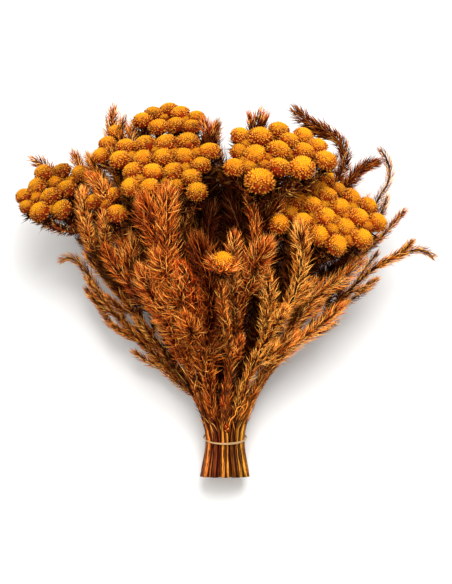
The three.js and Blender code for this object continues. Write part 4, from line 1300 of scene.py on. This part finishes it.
def add_bracts(pile, shape, at, rows, radius, rng):
    """A ring of short bracts under a head, bent up round its foot."""
    axis, count = rows[2], BRACTS["count"]
    turn = np.arange(count) * GOLDEN_ANGLE * 2 + rng.uniform(0, ROUND)
    d = on_ball(rng.uniform(*BRACTS["angle"], count), turn) @ rows
    flat = unit(d - axis * (d @ axis)[:, None])
    heading = unit(flat * BRACTS["out"] + axis * BRACTS["up"])
    add_kind(pile, shape, 1, BRACTS, rng, at + d * radius * BRACTS["seat"], heading, flat, radius)


def add_spines(pile, shape, at, rows, radius, rng):
    """Spines, dark with painted shade, that stand out below a head and close the space round its stalk."""
    side, over, axis = rows
    count = SPINES["count"]
    turn = rng.uniform(0, ROUND, count)
    flat = side * np.cos(turn)[:, None] + over * np.sin(turn)[:, None]
    roots = at - axis * (radius * rng.uniform(*SPINES["below"], count))[:, None]
    heading = unit(flat + axis * rng.uniform(*SPINES["rise"], count)[:, None])
    add_kind(pile, shape, 1, SPINES, rng, roots, heading, flat, radius)


def add_head(pile, shapes, head, axis, rng, bright):
    """A round head: a ball, close-set florets over all but its foot, and bracts and spines under it."""
    at = head["at"]
    axis = unit(axis + rng.normal(0, HEAD["lean"], 3))
    rows = np.array([*across_axis(axis), axis])
    squash = np.array([1, 1, rng.uniform(*HEAD["squash"])])
    radius = min(head["radius"] * rng.uniform(*HEAD["growth"]), head["radius"] + HEAD["most_growth"])
    ball = shapes["core" if radius > HEAD["fine_above"] else "small_core"]
    core = ball.co * squash * radius * HEAD["core"]
    # The ball under the florets darkens towards its foot: painted shade.
    pile.add(ball, at + core @ rows, 0, (HEAD["along"], bright, 0.5 - 0.5 * ball.co[:, 2]))
    florets = bpy.context.scene.brunia_heads.florets * min(1, (radius / HEAD["full"]) ** 2)
    count = int(florets * head["detail"])
    add_florets(pile, shapes["floret"], at, rows, radius, squash, count, bright, rng)
    add_bracts(pile, shapes["needle"], at, rows, radius, rng)
    add_spines(pile, shapes["spine"], at, rows, radius, rng)


def surrounded(places, others, reach):
    """Which places have others within reach on every side."""
    away = others[None] - places[:, None]
    turn = np.where(np.linalg.norm(away, axis=2) < reach, np.arctan2(away[..., 1], away[..., 0]), np.nan)
    turn = np.sort(turn, axis=1)
    first, last = np.nanmin(turn, axis=1), np.nanmax(turn, axis=1)
    widest = np.fmax(np.nanmax(np.diff(turn, axis=1), axis=1, initial=0), first + math.tau - last)
    return (widest < BETWEEN["widest"]) & (np.isfinite(turn).sum(1) > 2)


def heads_between(heads):
    """Smaller heads that show in the gaps of a corymb, set lower than the heads round them."""
    at = np.array([head["at"] for head in heads])
    radius = np.array([head["radius"] for head in heads])
    axes = (np.arange(at[:, k].min(), at[:, k].max(), BETWEEN["step"]) for k in (0, 1))
    grid = np.stack(np.meshgrid(*axes), axis=-1).reshape(-1, 2)
    small = []
    while len(heads) > 2 and len(grid):
        apart = np.linalg.norm(grid[:, None] - at[None, :, :2], axis=2)
        gap = (apart - radius).min(1)
        inside = surrounded(grid, at[: len(heads), :2], BETWEEN["reach"])
        best = np.argmax(np.where(inside, gap, -1))
        if not inside[best] or gap[best] < BETWEEN["gap"]:
            break
        near = apart[best].argsort()[: BETWEEN["round"]]
        size = min(gap[best] + BETWEEN["overlap"], BETWEEN["largest"])
        place = np.array([*grid[best], at[near, 2].mean() - BETWEEN["lower"]])
        small.append({"at": place, "radius": size, "detail": BETWEEN["detail"]})
        at, radius = np.vstack([at, place]), np.append(radius, size)
    return small


def add_rosette(pile, shape, head, axis, count, rng):
    """A ring of long needles that opens round a head."""
    side, over = across_axis(axis)
    turn = np.arange(count) * GOLDEN_ANGLE
    out = side * np.cos(turn)[:, None] + over * np.sin(turn)[:, None]
    lift = rng.uniform(*ROSETTE["lift"], count)
    heading = unit(out * np.cos(lift)[:, None] + axis * np.sin(lift)[:, None])
    low = axis * rng.uniform(*ROSETTE["low"], count)[:, None]
    roots = head["at"] + head["radius"] * (ROSETTE["out"] * out - low)
    add_kind(pile, shape, 2, ROSETTE, rng, roots, heading, out)


def add_fibres(pile, shape, points, rng):
    """Loose dry fibres on the wood above the band."""
    way = Way(points)
    count = int((FIBRE["end"] - FIBRE["start"]) * FIBRE["per_mm"])
    s = rng.uniform(FIBRE["start"], FIBRE["end"], count)
    out = way.out(s, rng.uniform(0, ROUND, count))
    lift = rng.uniform(*FIBRE["lift"], count)
    heading = unit(way.tangent(s) * np.cos(lift)[:, None] + out * np.sin(lift)[:, None])
    add_kind(pile, shape, 2, FIBRE, rng, way.at(s) + out * FIBRE["seat"], heading, out)


def add_litter(pile, rod, blade, needle, rng):
    """The loose bits just above the band, grown with the frontmost stem."""
    leaf, tuft = LITTER["leaf"], LITTER["tuft"]
    pile.add(blade, np.array(leaf["at"]) + blade.co * leaf["size"], 2, leaf["growth"])
    for strand in LITTER["strands"]:
        way = even_points(strand["way"], LITTER["step"])
        add_rod(pile, rod, way, LITTER["radii"], strand["tint"], slots=(2, 2))
    clothe(pile, needle, even_points(tuft["way"], LITTER["step"]), tuft["seat"], tuft["look"], rng, 2)


# Materials
def mix_colour(one, two, share):
    """Two colours mixed."""
    return tuple(a + (b - a) * share for a, b in zip(one, two))


def dimmed(colour, shares):
    """A colour with each of its parts taken at a share."""
    return tuple(value * share for value, share in zip(colour, shares))


def needle_colours(colour):
    """A needle's root, middle and tip colours, and the colour of its painted shade."""
    lighter = tuple(min(1, value) for value in dimmed(colour, NEEDLE_TONES["tip"]))
    shaded_colour = dimmed(colour, NEEDLE_TONES["shaded_colour"])
    return (
        dimmed(colour, NEEDLE_TONES["root"]),
        colour,
        mix_colour(lighter, NEEDLE_TONES["straw"], NEEDLE_TONES["straw_share"]),
        tuple(value + base for value, base in zip(shaded_colour, NEEDLE_TONES["shaded_base"])),
    )


def feed(tree, socket, value):
    """Links a socket to another one, or sets it to a value. A plain colour gets full cover."""
    if isinstance(value, bpy.types.NodeSocket):
        tree.links.new(value, socket)
    else:
        socket.default_value = (*value, 1) if socket.type == "RGBA" else value


def feed_all(tree, made, **inputs):
    """Feeds a node's inputs by name, with an underscore for each space."""
    for name, value in inputs.items():
        feed(tree, made.inputs[name.replace("_", " ")], value)


def node(tree, kind, **inputs):
    """A node in the next place of its tree's rows, with its inputs fed by name."""
    row, column = divmod(len(tree.nodes), NODE_ROWS["long"])
    made = tree.nodes.new(kind)
    made.location = (NODE_ROWS["across"] * column - NODE_ROWS["left"], -NODE_ROWS["down"] * (row + 1))
    feed_all(tree, made, **inputs)
    return made


def attribute(tree, name):
    """What each point of a piece holds under a name, as a vector."""
    made = node(tree, "ShaderNodeAttribute")
    made.attribute_name = name
    return made.outputs["Vector"]


def attribute_parts(tree, name):
    """The three numbers that each point of a piece holds under a name."""
    return node(tree, "ShaderNodeSeparateXYZ", Vector=attribute(tree, name)).outputs


def maths(tree, how, *values):
    """A step of arithmetic."""
    made = node(tree, "ShaderNodeMath")
    made.operation = how
    for socket, value in zip(made.inputs, values):
        feed(tree, socket, value)
    return made.outputs[0]


def patches(tree, vector, scale, detail=2.0, **more):
    """A soft pattern of patches."""
    made = node(tree, "ShaderNodeTexNoise", Vector=vector, Scale=scale, Detail=detail, **more)
    return made.outputs["Fac"]


def mixed(tree, factor, one, two, how="MIX"):
    """Two colours mixed by a factor."""
    mix = node(tree, "ShaderNodeMix")
    mix.data_type, mix.blend_type = "RGBA", how
    for key, value in (("factor", factor), ("one", one), ("two", two)):
        feed(tree, mix.inputs[MIX_SOCKETS[key]], value)
    return mix.outputs[MIX_SOCKETS["result"]]


def ranged(tree, value, low, high, to_low=0.0, to_high=1.0):
    """A number brought from one range into another, smoothly and clamped."""
    made = node(tree, "ShaderNodeMapRange", Value=value, From_Min=low, From_Max=high)
    made.interpolation_type = "SMOOTHSTEP"
    feed_all(tree, made, To_Min=to_low, To_Max=to_high)
    return made.outputs["Result"]


def laid(tree, base, colour, value, low, high, most=1.0, how="MIX"):
    """A colour laid over a base as a value runs from low to high, up to its most cover."""
    return mixed(tree, ranged(tree, value, low, high, 0.0, most), base, colour, how)


def shifted(tree, **inputs):
    """A base colour made lighter or darker, or turned a little in hue."""
    return node(tree, "ShaderNodeHueSaturation", **inputs).outputs["Color"]


def relief(tree, height, strength, distance):
    """Low relief, for a shader's normal."""
    made = node(tree, "ShaderNodeBump", Strength=strength, Distance=distance, Height=height)
    return made.outputs["Normal"]


def new_material(name):
    """A material with just its shader, and the tree to build in."""
    material = bpy.data.materials.new(name)
    material.use_nodes = True
    tree = material.node_tree
    return material, tree, tree.nodes["Principled BSDF"]


def new_group(name, colours, values):
    """An empty shader node group that puts out one colour, with named inputs for colours and values."""
    group = bpy.data.node_groups.new(name, "ShaderNodeTree")
    for given, kind in ((colours, "NodeSocketColor"), (values, "NodeSocketFloat")):
        for socket_name, default in given.items():
            socket = group.interface.new_socket(name=socket_name, in_out="INPUT", socket_type=kind)
            socket.default_value = (*default, 1) if given is colours else default
    group.interface.new_socket(name="Color", in_out="OUTPUT", socket_type="NodeSocketColor")
    return group, node(group, "NodeGroupInput").outputs, node(group, "NodeGroupOutput").inputs


def dry_tone_group():
    """Dry plant colour and painted shade: dark at the root, lighter to the tip, varied leaf to leaf, mottled.
    """
    group, given, out = new_group(
        "dry_tone",
        {"Root": (0.1, 0.02, 0.01), "Middle": (0.5, 0.2, 0.02), "Tip": (0.8, 0.4, 0.1),
         "Old": (0.2, 0.05, 0.01), "Straw": (1.0, 0.52, 0.12)},
        {"Along": 0.5, "Tint": 0.5, "Age": 0.0, "Flush": 0.0, "Mottle Size": 300.0},
    )
    along, tint, painted_shade, flush = (given[key] for key in ("Along", "Tint", "Age", "Flush"))
    # The darker root is partly painted shade, and the lighter tip partly a painted highlight.
    base = laid(group, given["Root"], given["Middle"], along, 0.16, 0.84)
    base = laid(group, base, given["Tip"], along, 0.6, 1.0)
    base = laid(group, base, (1.0, 0.6, 0.4), flush, 0.0, 1.0, how="MULTIPLY")
    base = laid(group, base, (1.0, 1.3, 1.1), flush, 0.0, -1.0, how="MULTIPLY")
    base = laid(group, base, given["Straw"], tint, 0.8, 0.95, most=0.65)
    # Painted shade: leaves deep in the bunch, low on their twig or in its hollows are darkened.
    base = laid(group, base, given["Old"], painted_shade, 0.0, 1.0, most=0.92)
    # Past a shade of 1, in the hollows, the painted shade runs on to near black.
    base = laid(group, base, (0.004, 0.001, 0.0003), painted_shade, 1.0, 1.4, most=0.85)
    place = node(group, "ShaderNodeTexCoord").outputs["Object"]
    patchy = ranged(group, patches(group, place, given["Mottle Size"]), 0.3, 0.7, 0.78, 1.22)
    light = maths(group, "MULTIPLY", patchy, ranged(group, tint, 0.0, 1.0, 0.2, 1.8))
    hue = ranged(group, tint, 0.0, 1.0, 0.482, 0.508)
    group.links.new(shifted(group, Hue=hue, Value=light, Color=base), out["Color"])
    return group


def dry_material(name, colours, roughness):
    """A dry plant surface of the shared tone, with its own colours."""
    material, tree, shader = new_material(name)
    tone = node(tree, "ShaderNodeGroup")
    tone.node_tree = bpy.data.node_groups.get("dry_tone") or dry_tone_group()
    root, middle, tip, shaded_colour = colours
    along, tint, painted_shade = attribute_parts(tree, "growth")
    flush = attribute_parts(tree, "grain")["X"]
    feed_all(tree, tone, Root=root, Middle=middle, Tip=tip, Old=shaded_colour, Mottle_Size=MOTTLE)
    feed_all(tree, tone, Along=along, Tint=tint, Age=painted_shade, Flush=flush)
    feed_all(tree, shader, Base_Color=tone.outputs["Color"], Roughness=roughness, Specular_IOR_Level=0.04)
    return material


def floret_material(crown, flank):
    """Florets: a calm bright crown, and pale grains over deep red painted shade lower down the head."""
    material, tree, shader = new_material("florets")
    along, tint, low = attribute_parts(tree, "growth")
    # Painted shade at the florets' feet, in the gaps between them.
    crown_shade = mix_colour(dimmed(flank, (0.4, 0.4, 0.4)), crown, 0.3)
    grain_shade = (0.28 * flank[0], 0.1 * flank[1], 0.001)
    grain_light = mix_colour(flank, (1.0, 0.56, 0.07), 0.6)
    top = laid(tree, crown_shade, crown, along, 0.0, 0.9)
    grains = laid(tree, grain_shade, grain_light, along, 0.25, 1.0)
    base = laid(tree, top, grains, low, 0.2, 0.5)
    # Painted shade: the head darkens towards its foot.
    base = laid(tree, base, (0.75, 0.6, 0.5), low, 0.35, 0.9, how="MULTIPLY")
    place = node(tree, "ShaderNodeTexCoord").outputs["Object"]
    base = laid(tree, base, (1.0, 0.62, 0.72), patches(tree, place, 140.0), 0.42, 0.68, 0.5, "MULTIPLY")
    light = ranged(tree, tint, 0.0, 1.0, 0.45, 1.5)
    base = shifted(tree, Value=light, Color=base)
    feed_all(tree, shader, Base_Color=base, Roughness=0.7, Specular_IOR_Level=0.08)
    return material


def stretched(tree, vector, along):
    """A pattern's place, drawn out along the stem."""
    return node(tree, "ShaderNodeMapping", Vector=vector, Scale=(1, 1, along)).outputs[0]


def bark_material(golden, brown, dark):
    """Ribbed bark: streaks along the stem and leaf scars, with painted shade in its furrows and on twigs."""
    material, tree, shader = new_material("bark")
    grain = attribute(tree, "grain")
    growth = attribute_parts(tree, "growth")
    tint, rib = growth["Y"], growth["Z"]
    streaks = patches(tree, stretched(tree, grain, 0.05), 1.5, detail=3.0, Roughness=0.6)
    scars = patches(tree, stretched(tree, grain, 0.45), 0.9)
    base = laid(tree, brown, golden, maths(tree, "MULTIPLY_ADD", tint, 0.34, streaks), 0.52, 0.82)
    base = laid(tree, base, dark, streaks, 0.49, 0.40)
    base = laid(tree, base, brown, scars, 0.56, 0.72, most=0.7)
    # Painted shade in the furrows between the ribs and over plain twigs.
    base = laid(tree, base, dark, rib, 0.6, 0.18, most=0.95)
    wave = maths(tree, "SINE", maths(tree, "MULTIPLY", tint, 40.0))
    base = shifted(
        tree, Hue=ranged(tree, wave, -1.0, 1.0, 0.494, 0.516), Value=ranged(tree, tint, 0.0, 1.0, 0.65, 1.4),
        Color=base,
    )
    feed_all(tree, shader, Base_Color=base, Roughness=ranged(tree, streaks, 0.3, 0.7, 0.72, 0.5))
    feed_all(tree, shader, Specular_IOR_Level=0.06, Normal=relief(tree, streaks, 0.7, 0.0005))
    return material


def cut_wood_material():
    """A cut end: pale wood with fine rings, a dark pith and a darker rim of bark."""
    material, tree, shader = new_material("cut_wood")
    reach = attribute_parts(tree, "growth")["X"]
    rings = maths(tree, "SINE", maths(tree, "MULTIPLY", reach, 26.0))
    base = laid(tree, (0.55, 0.33, 0.13), (0.36, 0.19, 0.06), rings, -1.0, 1.0, most=0.45)
    stains = patches(tree, attribute(tree, "grain"), 2.2, detail=3.0)
    base = laid(tree, base, (0.28, 0.13, 0.04), stains, 0.35, 0.7, most=0.5)
    base = laid(tree, base, (0.12, 0.05, 0.015), reach, 0.2, 0.08)
    base = laid(tree, base, (0.16, 0.07, 0.02), reach, 0.82, 0.97)
    feed_all(tree, shader, Base_Color=base, Roughness=0.75)
    return material


def band_material(colour):
    """Light elastic: fine ribs across the strand and a soft sheen."""
    material, tree, shader = new_material("elastic_tan")
    ribs = patches(tree, attribute(tree, "grain"), 1.4)
    base = laid(tree, colour, dimmed(colour, (0.62, 0.62, 0.62)), ribs, 0.35, 0.7, most=0.8)
    feed_all(tree, shader, Base_Color=base, Roughness=0.5, Normal=relief(tree, ribs, 0.3, 0.0002))
    return material


# Settings
def colour_property(name, description, default):
    """A colour setting."""
    return FloatVectorProperty(
        name=name, description=description, subtype="COLOR", size=3, min=0, max=1, default=default
    )


class BruniaLeafSettings(bpy.types.PropertyGroup):
    """Sizes and colours of the leafy stems"""

    needle_length: FloatProperty(
        name="Needle length", description="Length of the needle leaves, as a share of the usual", default=1.0
    )
    needle_width: FloatProperty(
        name="Needle width", description="Width of a needle leaf where it is fullest",
        default=0.43 * MM, unit="LENGTH",
    )
    density: FloatProperty(
        name="Density", description="Number of needle leaves, as a share of the usual", default=1.0
    )
    gold: colour_property("Gold", "Needles of the golden stems", (0.97, 0.262, 0.020))
    orange: colour_property("Orange", "Needles of the orange stems", (0.93, 0.185, 0.017))
    rust: colour_property("Rust", "Needles of the rust-brown stems", (0.62, 0.115, 0.013))
    olive: colour_property("Olive", "Needles of the olive-brown stems", (0.74, 0.175, 0.017))
    bark: colour_property("Bark", "Light ribs of the bark", (0.72, 0.222, 0.026))


class BruniaHeadSettings(bpy.types.PropertyGroup):
    """Number and colours of the florets"""

    florets: IntProperty(name="Florets", description="Florets on each head", default=290, min=40)
    crown: colour_property("Crown", "Florets on top of a head", (0.98, 0.44, 0.010))
    flank: colour_property("Flank", "Florets low on a head", (0.80, 0.20, 0.006))


class BruniaBandSettings(bpy.types.PropertyGroup):
    """Thickness and colour of the elastic band"""

    strand: FloatProperty(
        name="Strand", description="Thickness of one strand of the band", default=0.7 * MM, unit="LENGTH"
    )
    colour: colour_property("Band", "Colour of the band", (0.62, 0.38, 0.16))


class BruniaStageSettings(bpy.types.PropertyGroup):
    """Floor, lights and camera"""

    floor: colour_property("Floor", "Colour of the floor", (0.95, 0.95, 0.94))
    key: FloatProperty(name="Key light", description="Strength of the key light", default=48.0, unit="POWER")
    fill: FloatProperty(name="Fill light", description="Brightness of the studio all round", default=0.42)
    camera_height: FloatProperty(
        name="Camera height", description="Height of the camera over the floor", default=2.5, unit="LENGTH"
    )


# Operators
class LeafyStem:
    """One stem as it grows, with its shoots, sprigs, sprays, undergrowth and needles."""

    def __init__(self, name, place, shapes, settings):
        self.name, self.stem, self.shapes, self.settings = name, STEMS[name], shapes, settings
        self.rng = np.random.default_rng(SEEDS["stems"] + place)
        self.pile = Pile()
        if name == LITTER["stem"]:
            add_litter(self.pile, rod_shape(5, 12), blade_shape(), shapes["short_needle"], self.rng)
        self.tint = BARK_TINT["odd" if place % 2 else "even"] + self.rng.uniform(*BARK_TINT["stray"])
        for route in ROUTES:
            if route["node"] == name:
                self.grow(route)

    def per_mm(self, look, points):
        """How many needles a twig gets on each millimetre."""
        return look["per_mm"] * self.settings.density * depth_share(points)

    def width(self, look):
        """How wide the needles of a look are."""
        return self.settings.needle_width / MM * look.get("wide", 1)

    def look_of(self, route, points):
        """How the needles of a route lie, with a flush and a brightness of its own."""
        look = dict(LOOKS[route["look"]])
        look["flush"] = np.clip(route["flush"] + self.rng.normal(0, STRAY["flush"]), -1, 1)
        look["bright"] = self.stem.get("bright", 0) + BRIGHTER + self.rng.normal(0, STRAY["bright"])
        look["shade"], look["lit"] = route["shade"], route["lit"]
        look["per_mm"] = self.per_mm(look, points)
        look["length"] *= self.settings.needle_length
        look["width"] = self.width(look)
        return look

    def add_twig(self, kind, rod, points, leaf, look):
        """A twig with its needles."""
        twig = TWIGS[kind]
        add_rod(self.pile, rod, points, twig["radii"], self.tint)
        clothe(
            self.pile, leaf, points, twig["seat"], look, self.rng, 2, HEADS,
            start=twig["start"], rise=twig["rise"],
        )

    def grow(self, route):
        """A stem or a shoot, with what it bears."""
        points = even_points(route["points"], GROWN_STEP)
        look = self.look_of(route, points)
        leaf = self.shapes["long_needle" if look["bow"] > LONG_FROM else "short_needle"]
        if route["kind"] == "stem":
            self.add_wood(route, points)
            start = LOW_LEAVES["start"] + self.rng.uniform(*LOW_LEAVES["stray"])
            clothe(
                self.pile, leaf, points, WOOD["seat"], look, self.rng, 2, HEADS,
                start=start, rise=LOW_LEAVES["rise"],
            )
            add_fibres(self.pile, leaf, points, self.rng)
            self.add_sprigs(route, points, leaf, look)
            self.add_sprays(route, points, leaf, look)
        else:
            kind = "flowering_shoot" if route["flowers"] else "shoot"
            self.add_twig(kind, self.shapes["twig"], points, leaf, look)
        if self.stem.get("under", True):
            for twig in undergrowth_along(points, self.rng):
                self.add_twig("under", self.shapes["twiglet"], twig, self.shapes["spine"], UNDER_LOOK)

    def add_wood(self, route, points):
        """The ribbed wood through the band, and the slimmer stem above it."""
        bare = int(WOOD["end"] / GROWN_STEP)
        ends = [0, WOOD["even"], WOOD["end"]]
        add_rod(self.pile, self.shapes["wood"], points[: bare + 1], WOOD["radii"], self.tint, ends, wood=True)
        upper = [0, WOOD["tapers"], lengths_along(points)[-1] - WOOD["end"]]
        tip = WOOD["flowering" if route["flowers"] else "leafy"]
        radii = [WOOD["radii"][2] - WOOD["step_in"], WOOD["upper"], tip]
        add_rod(self.pile, self.shapes["long_twig"], points[bare:], radii, self.tint, upper)

    def add_sprigs(self, route, points, leaf, look):
        """Short leafy side twigs, up to near the tip of the stem."""
        whole = lengths_along(points)[-1]
        last = whole - SPRIG["below_heads"] if route["flowers"] else whole * SPRIG["end"]
        step = SPRIG["step"] * self.stem.get("sparse", 1)
        for sprig in sprigs_along(points, last, step, self.rng):
            own = {**look, "per_mm": self.per_mm(LOOKS[route["look"]], sprig)}
            self.add_twig("sprig", self.shapes["twiglet"], sprig, leaf, own)

    def add_sprays(self, route, points, leaf, look):
        """The finer sprays that the table gives the stem."""
        for start, kind, shade, through in SPRAYS.get(self.name, ()):
            own = {**look, **LOOKS[kind], "shade": shade, "lit": route["lit"]}
            own["per_mm"] *= self.settings.density
            own["length"] *= self.settings.needle_length
            own["width"] = self.width(own)
            plain = shade > PLAIN_FROM
            way = spray_points(start, through, points)
            self.add_twig("spray", self.shapes["twig"], way, self.shapes["spine"] if plain else leaf, own)


class BRUNIA_OT_stems(bpy.types.Operator):
    """Grow the leafy stems"""

    bl_idname = "brunia.stems"
    bl_label = "Leafy stems"

    def execute(self, context):
        """Each stem, with all that it bears but its flower heads, is one piece."""
        settings = context.scene.brunia_leaves
        shapes = {
            "long_needle": needle_shape(LONG_RINGS), "short_needle": needle_shape(SHORT_RINGS),
            "spine": spine_shape(), "wood": rod_shape(20, 12), "twig": rod_shape(6, 12),
            "long_twig": rod_shape(6, 30), "twiglet": rod_shape(4, 3),
        }
        leaves = {
            name: dry_material(f"needles_{name}", needle_colours(tuple(getattr(settings, name))), 0.7)
            for name in ("gold", "orange", "rust", "olive")
        }
        bark = bark_material(tuple(settings.bark), BARK["brown"], BARK["dark"])
        cut_wood = cut_wood_material()
        for place, (name, stem) in enumerate(STEMS.items()):
            grown = LeafyStem(name, place, shapes, settings)
            obj = grown.pile.piece(f"{name}_leafy", [bark, cut_wood, leaves[stem["colour"]]], name)
        return {"FINISHED"}


def add_stalk(pile, shapes, points, axis, radius, rng):
    """A head's stalk, with bracts along it up to the foot of the head."""
    add_rod(pile, shapes["rod"], points, STALK["radii"], STALK["tint"], slots=(1, 1))
    below = points.copy()
    below[-1] -= axis * radius * STALK["foot"]
    look = {**LOOKS["bract"], "width": STALK["bract_width"]}
    clothe(pile, shapes["needle"], below, STALK["seat"], look, rng, 1, start=STALK["start"])


class BRUNIA_OT_heads(bpy.types.Operator):
    """Grow the flower heads on their stalks"""

    bl_idname = "brunia.heads"
    bl_label = "Flower heads"

    def execute(self, context):
        """Each cluster of heads is one piece."""
        settings = context.scene.brunia_heads
        shapes = {
            "needle": needle_shape(SHORT_RINGS), "spine": spine_shape(), "floret": floret_shape(),
            "core": core_shape(3), "small_core": core_shape(2), "rod": rod_shape(6, 5),
        }
        florets = floret_material(tuple(settings.crown), tuple(settings.flank))
        bracts = dry_material("bracts", needle_colours(BRACTS["colour"]), 0.65)
        ring = dry_material("rosette", needle_colours(tuple(context.scene.brunia_leaves.orange)), 0.55)
        for place, (name, corymb) in enumerate(CORYMBS.items()):
            rng = np.random.default_rng(SEEDS["heads"] + place)
            pile, axes = Pile(), []
            base, heading = TOPS[name]
            heads = [head for head in HEADS if head["node"] == name]
            for head in heads:
                points = stalk_points(base - heading * KNOB_RADIUS, heading, head, STALK["parts"])
                axis = unit(points[-1] - points[-2])
                axes.append(axis)
                add_stalk(pile, shapes, points, axis, head["radius"], rng)
                if "rosette" in corymb:
                    head = {**head, "radius": head["radius"] * ROSETTE["button"]}
                bright = corymb.get("bright", HEAD["bright"]) + rng.normal(0, HEAD["stray"])
                add_head(pile, shapes, head, axis, rng, bright)
                if "rosette" in corymb:
                    add_rosette(pile, shapes["needle"], head, axis, corymb["rosette"], rng)
            for head in heads_between(heads):
                # Heads in the gaps are darker: painted shade.
                add_head(pile, shapes, head, unit(np.mean(axes, axis=0)), rng, BETWEEN["bright"])
            obj = pile.piece(f"{name}_florets", [florets, bracts, ring], name)
        return {"FINISHED"}


class BRUNIA_OT_band(bpy.types.Operator):
    """Wind the elastic band round the stems"""

    bl_idname = "brunia.band"
    bl_label = "Elastic band"

    def execute(self, context):
        """Two strands of one band, wound round each other."""
        settings = context.scene.brunia_band
        bpy.ops.object.select_all(action="DESELECT")
        bpy.ops.mesh.primitive_torus_add(
            major_segments=BAND["segments"], minor_segments=BAND["sides"],
            major_radius=BAND["radius"], minor_radius=settings.strand / MM / 2,
        )
        ring = Shape(bpy.context.object)
        ring.slots[:] = 0
        turn = np.arctan2(ring.co[:, 1], ring.co[:, 0])
        out = np.column_stack([np.cos(turn), np.sin(turn), np.zeros(len(turn))])
        c, s = math.cos(TIE_TILT), math.sin(TIE_TILT)
        pile = Pile()
        for wind in (0.0, math.pi):
            phase = turn * BAND["crossings"] + BAND["start"] + wind
            co = ring.co + out * (BAND["room"] * np.sin(phase))[:, None]
            co[:, 2] += BAND["lift"] * np.cos(phase)
            co = np.column_stack([co[:, 0], -co[:, 2], co[:, 1]])
            co = np.column_stack([co[:, 0], co[:, 1] * c - co[:, 2] * s, co[:, 1] * s + co[:, 2] * c])
            co += [0, TIE["y"], TIE["z"]]
            pile.add(ring, co, 0, (0.5, 0.5, 0.5), co)
        obj = pile.piece("tie_band_strands", [band_material(tuple(settings.colour))], "tie_band")
        return {"FINISHED"}


def add_floor(colour):
    """A wide sheet of paper, just under the bunch."""
    bpy.ops.object.select_all(action="DESELECT")
    bpy.ops.mesh.primitive_plane_add(size=STAGE["floor"], location=(0, 0, -STAGE["under"]))
    floor = bpy.context.object
    floor.name = "floor"
    bpy.ops.object.transform_apply(location=True, rotation=False, scale=False)
    material, tree, shader = new_material("floor_paper")
    feed_all(tree, shader, Base_Color=tuple(colour), Roughness=0.9)
    floor.data.materials.append(material)


def add_lamps(power):
    """Broad soft lights from the flowers' side and from above."""
    aim = Vector(STAGE["aim"])
    for name, place, size, share in LAMPS:
        bpy.ops.object.light_add(type="AREA", location=place)
        lamp = bpy.context.object
        lamp.name = name
        lamp.data.shape, lamp.data.size, lamp.data.energy = "DISK", size, power * share
        lamp.rotation_euler = (aim - lamp.location).to_track_quat("-Z", "Y").to_euler()


def add_world(strength):
    """Even light from all round."""
    world = bpy.data.worlds.new("studio")
    world.use_nodes = True
    tree = world.node_tree
    feed_all(tree, tree.nodes["Background"], Color=STAGE["sky"], Strength=strength)
    bpy.context.scene.world = world


def add_camera(height):
    """The camera, straight over the bunch, with the photo's frame."""
    middle = (np.array(VIEW["middle"]) + SHIFT[:2]) * MM
    bpy.ops.object.camera_add(location=(middle[0], middle[1], height), rotation=(0, 0, 0))
    camera = bpy.context.object
    camera.name = "photo_camera"
    camera.data.sensor_fit = "VERTICAL"
    camera.data.sensor_height = VIEW["sensor"]
    camera.data.lens = VIEW["sensor"] * (height - VIEW["depth"] * MM) / (VIEW["tall"] * MM)
    bpy.context.scene.camera = camera


class BRUNIA_OT_stage(bpy.types.Operator):
    """Set the floor, the lights and the camera"""

    bl_idname = "brunia.stage"
    bl_label = "Stage"

    def execute(self, context):
        """A pale floor, soft light from the flowers' side, and a camera that looks down on the bunch."""
        settings = context.scene.brunia_stage
        add_floor(settings.floor)
        add_lamps(settings.key)
        add_world(settings.fill)
        add_camera(settings.camera_height)
        context.scene.view_settings.view_transform = "Standard"
        return {"FINISHED"}


class BRUNIA_PT_panel(bpy.types.Panel):
    """The settings and steps of the bunch, in the 3D view's sidebar"""

    bl_label = "Dried brunia bunch"
    bl_idname = "BRUNIA_PT_panel"
    bl_space_type = "VIEW_3D"
    bl_region_type = "UI"
    bl_category = "Brunia"

    def draw(self, context):
        """Lists each step with its settings."""
        for operator, settings in STEPS:
            box = self.layout.box()
            group = getattr(context.scene, settings)
            for key in group.__annotations__:
                box.prop(group, key)
            box.operator(operator)


STEPS = (
    ("brunia.stems", "brunia_leaves"),
    ("brunia.heads", "brunia_heads"),
    ("brunia.band", "brunia_band"),
    ("brunia.stage", "brunia_stage"),
)
GROUPS = (BruniaLeafSettings, BruniaHeadSettings, BruniaBandSettings, BruniaStageSettings)
OPERATORS = (BRUNIA_OT_stems, BRUNIA_OT_heads, BRUNIA_OT_band, BRUNIA_OT_stage)


def register():
    """Registers every class and hangs the settings on the scene."""
    for cls in (*GROUPS, *OPERATORS, BRUNIA_PT_panel):
        bpy.utils.register_class(cls)
    for group, (_, settings) in zip(GROUPS, STEPS):
        setattr(bpy.types.Scene, settings, PointerProperty(type=group))


def unregister():
    """Takes the settings and classes away again."""
    for _, settings in STEPS:
        delattr(bpy.types.Scene, settings)
    for cls in reversed((*GROUPS, *OPERATORS, BRUNIA_PT_panel)):
        bpy.utils.unregister_class(cls)


def main():
    """Builds the whole bunch and its stage."""
    register()
    bpy.ops.brunia.stems()
    bpy.ops.brunia.heads()
    bpy.ops.brunia.band()
    bpy.ops.brunia.stage()
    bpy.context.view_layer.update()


if __name__ == "__main__":
    main()
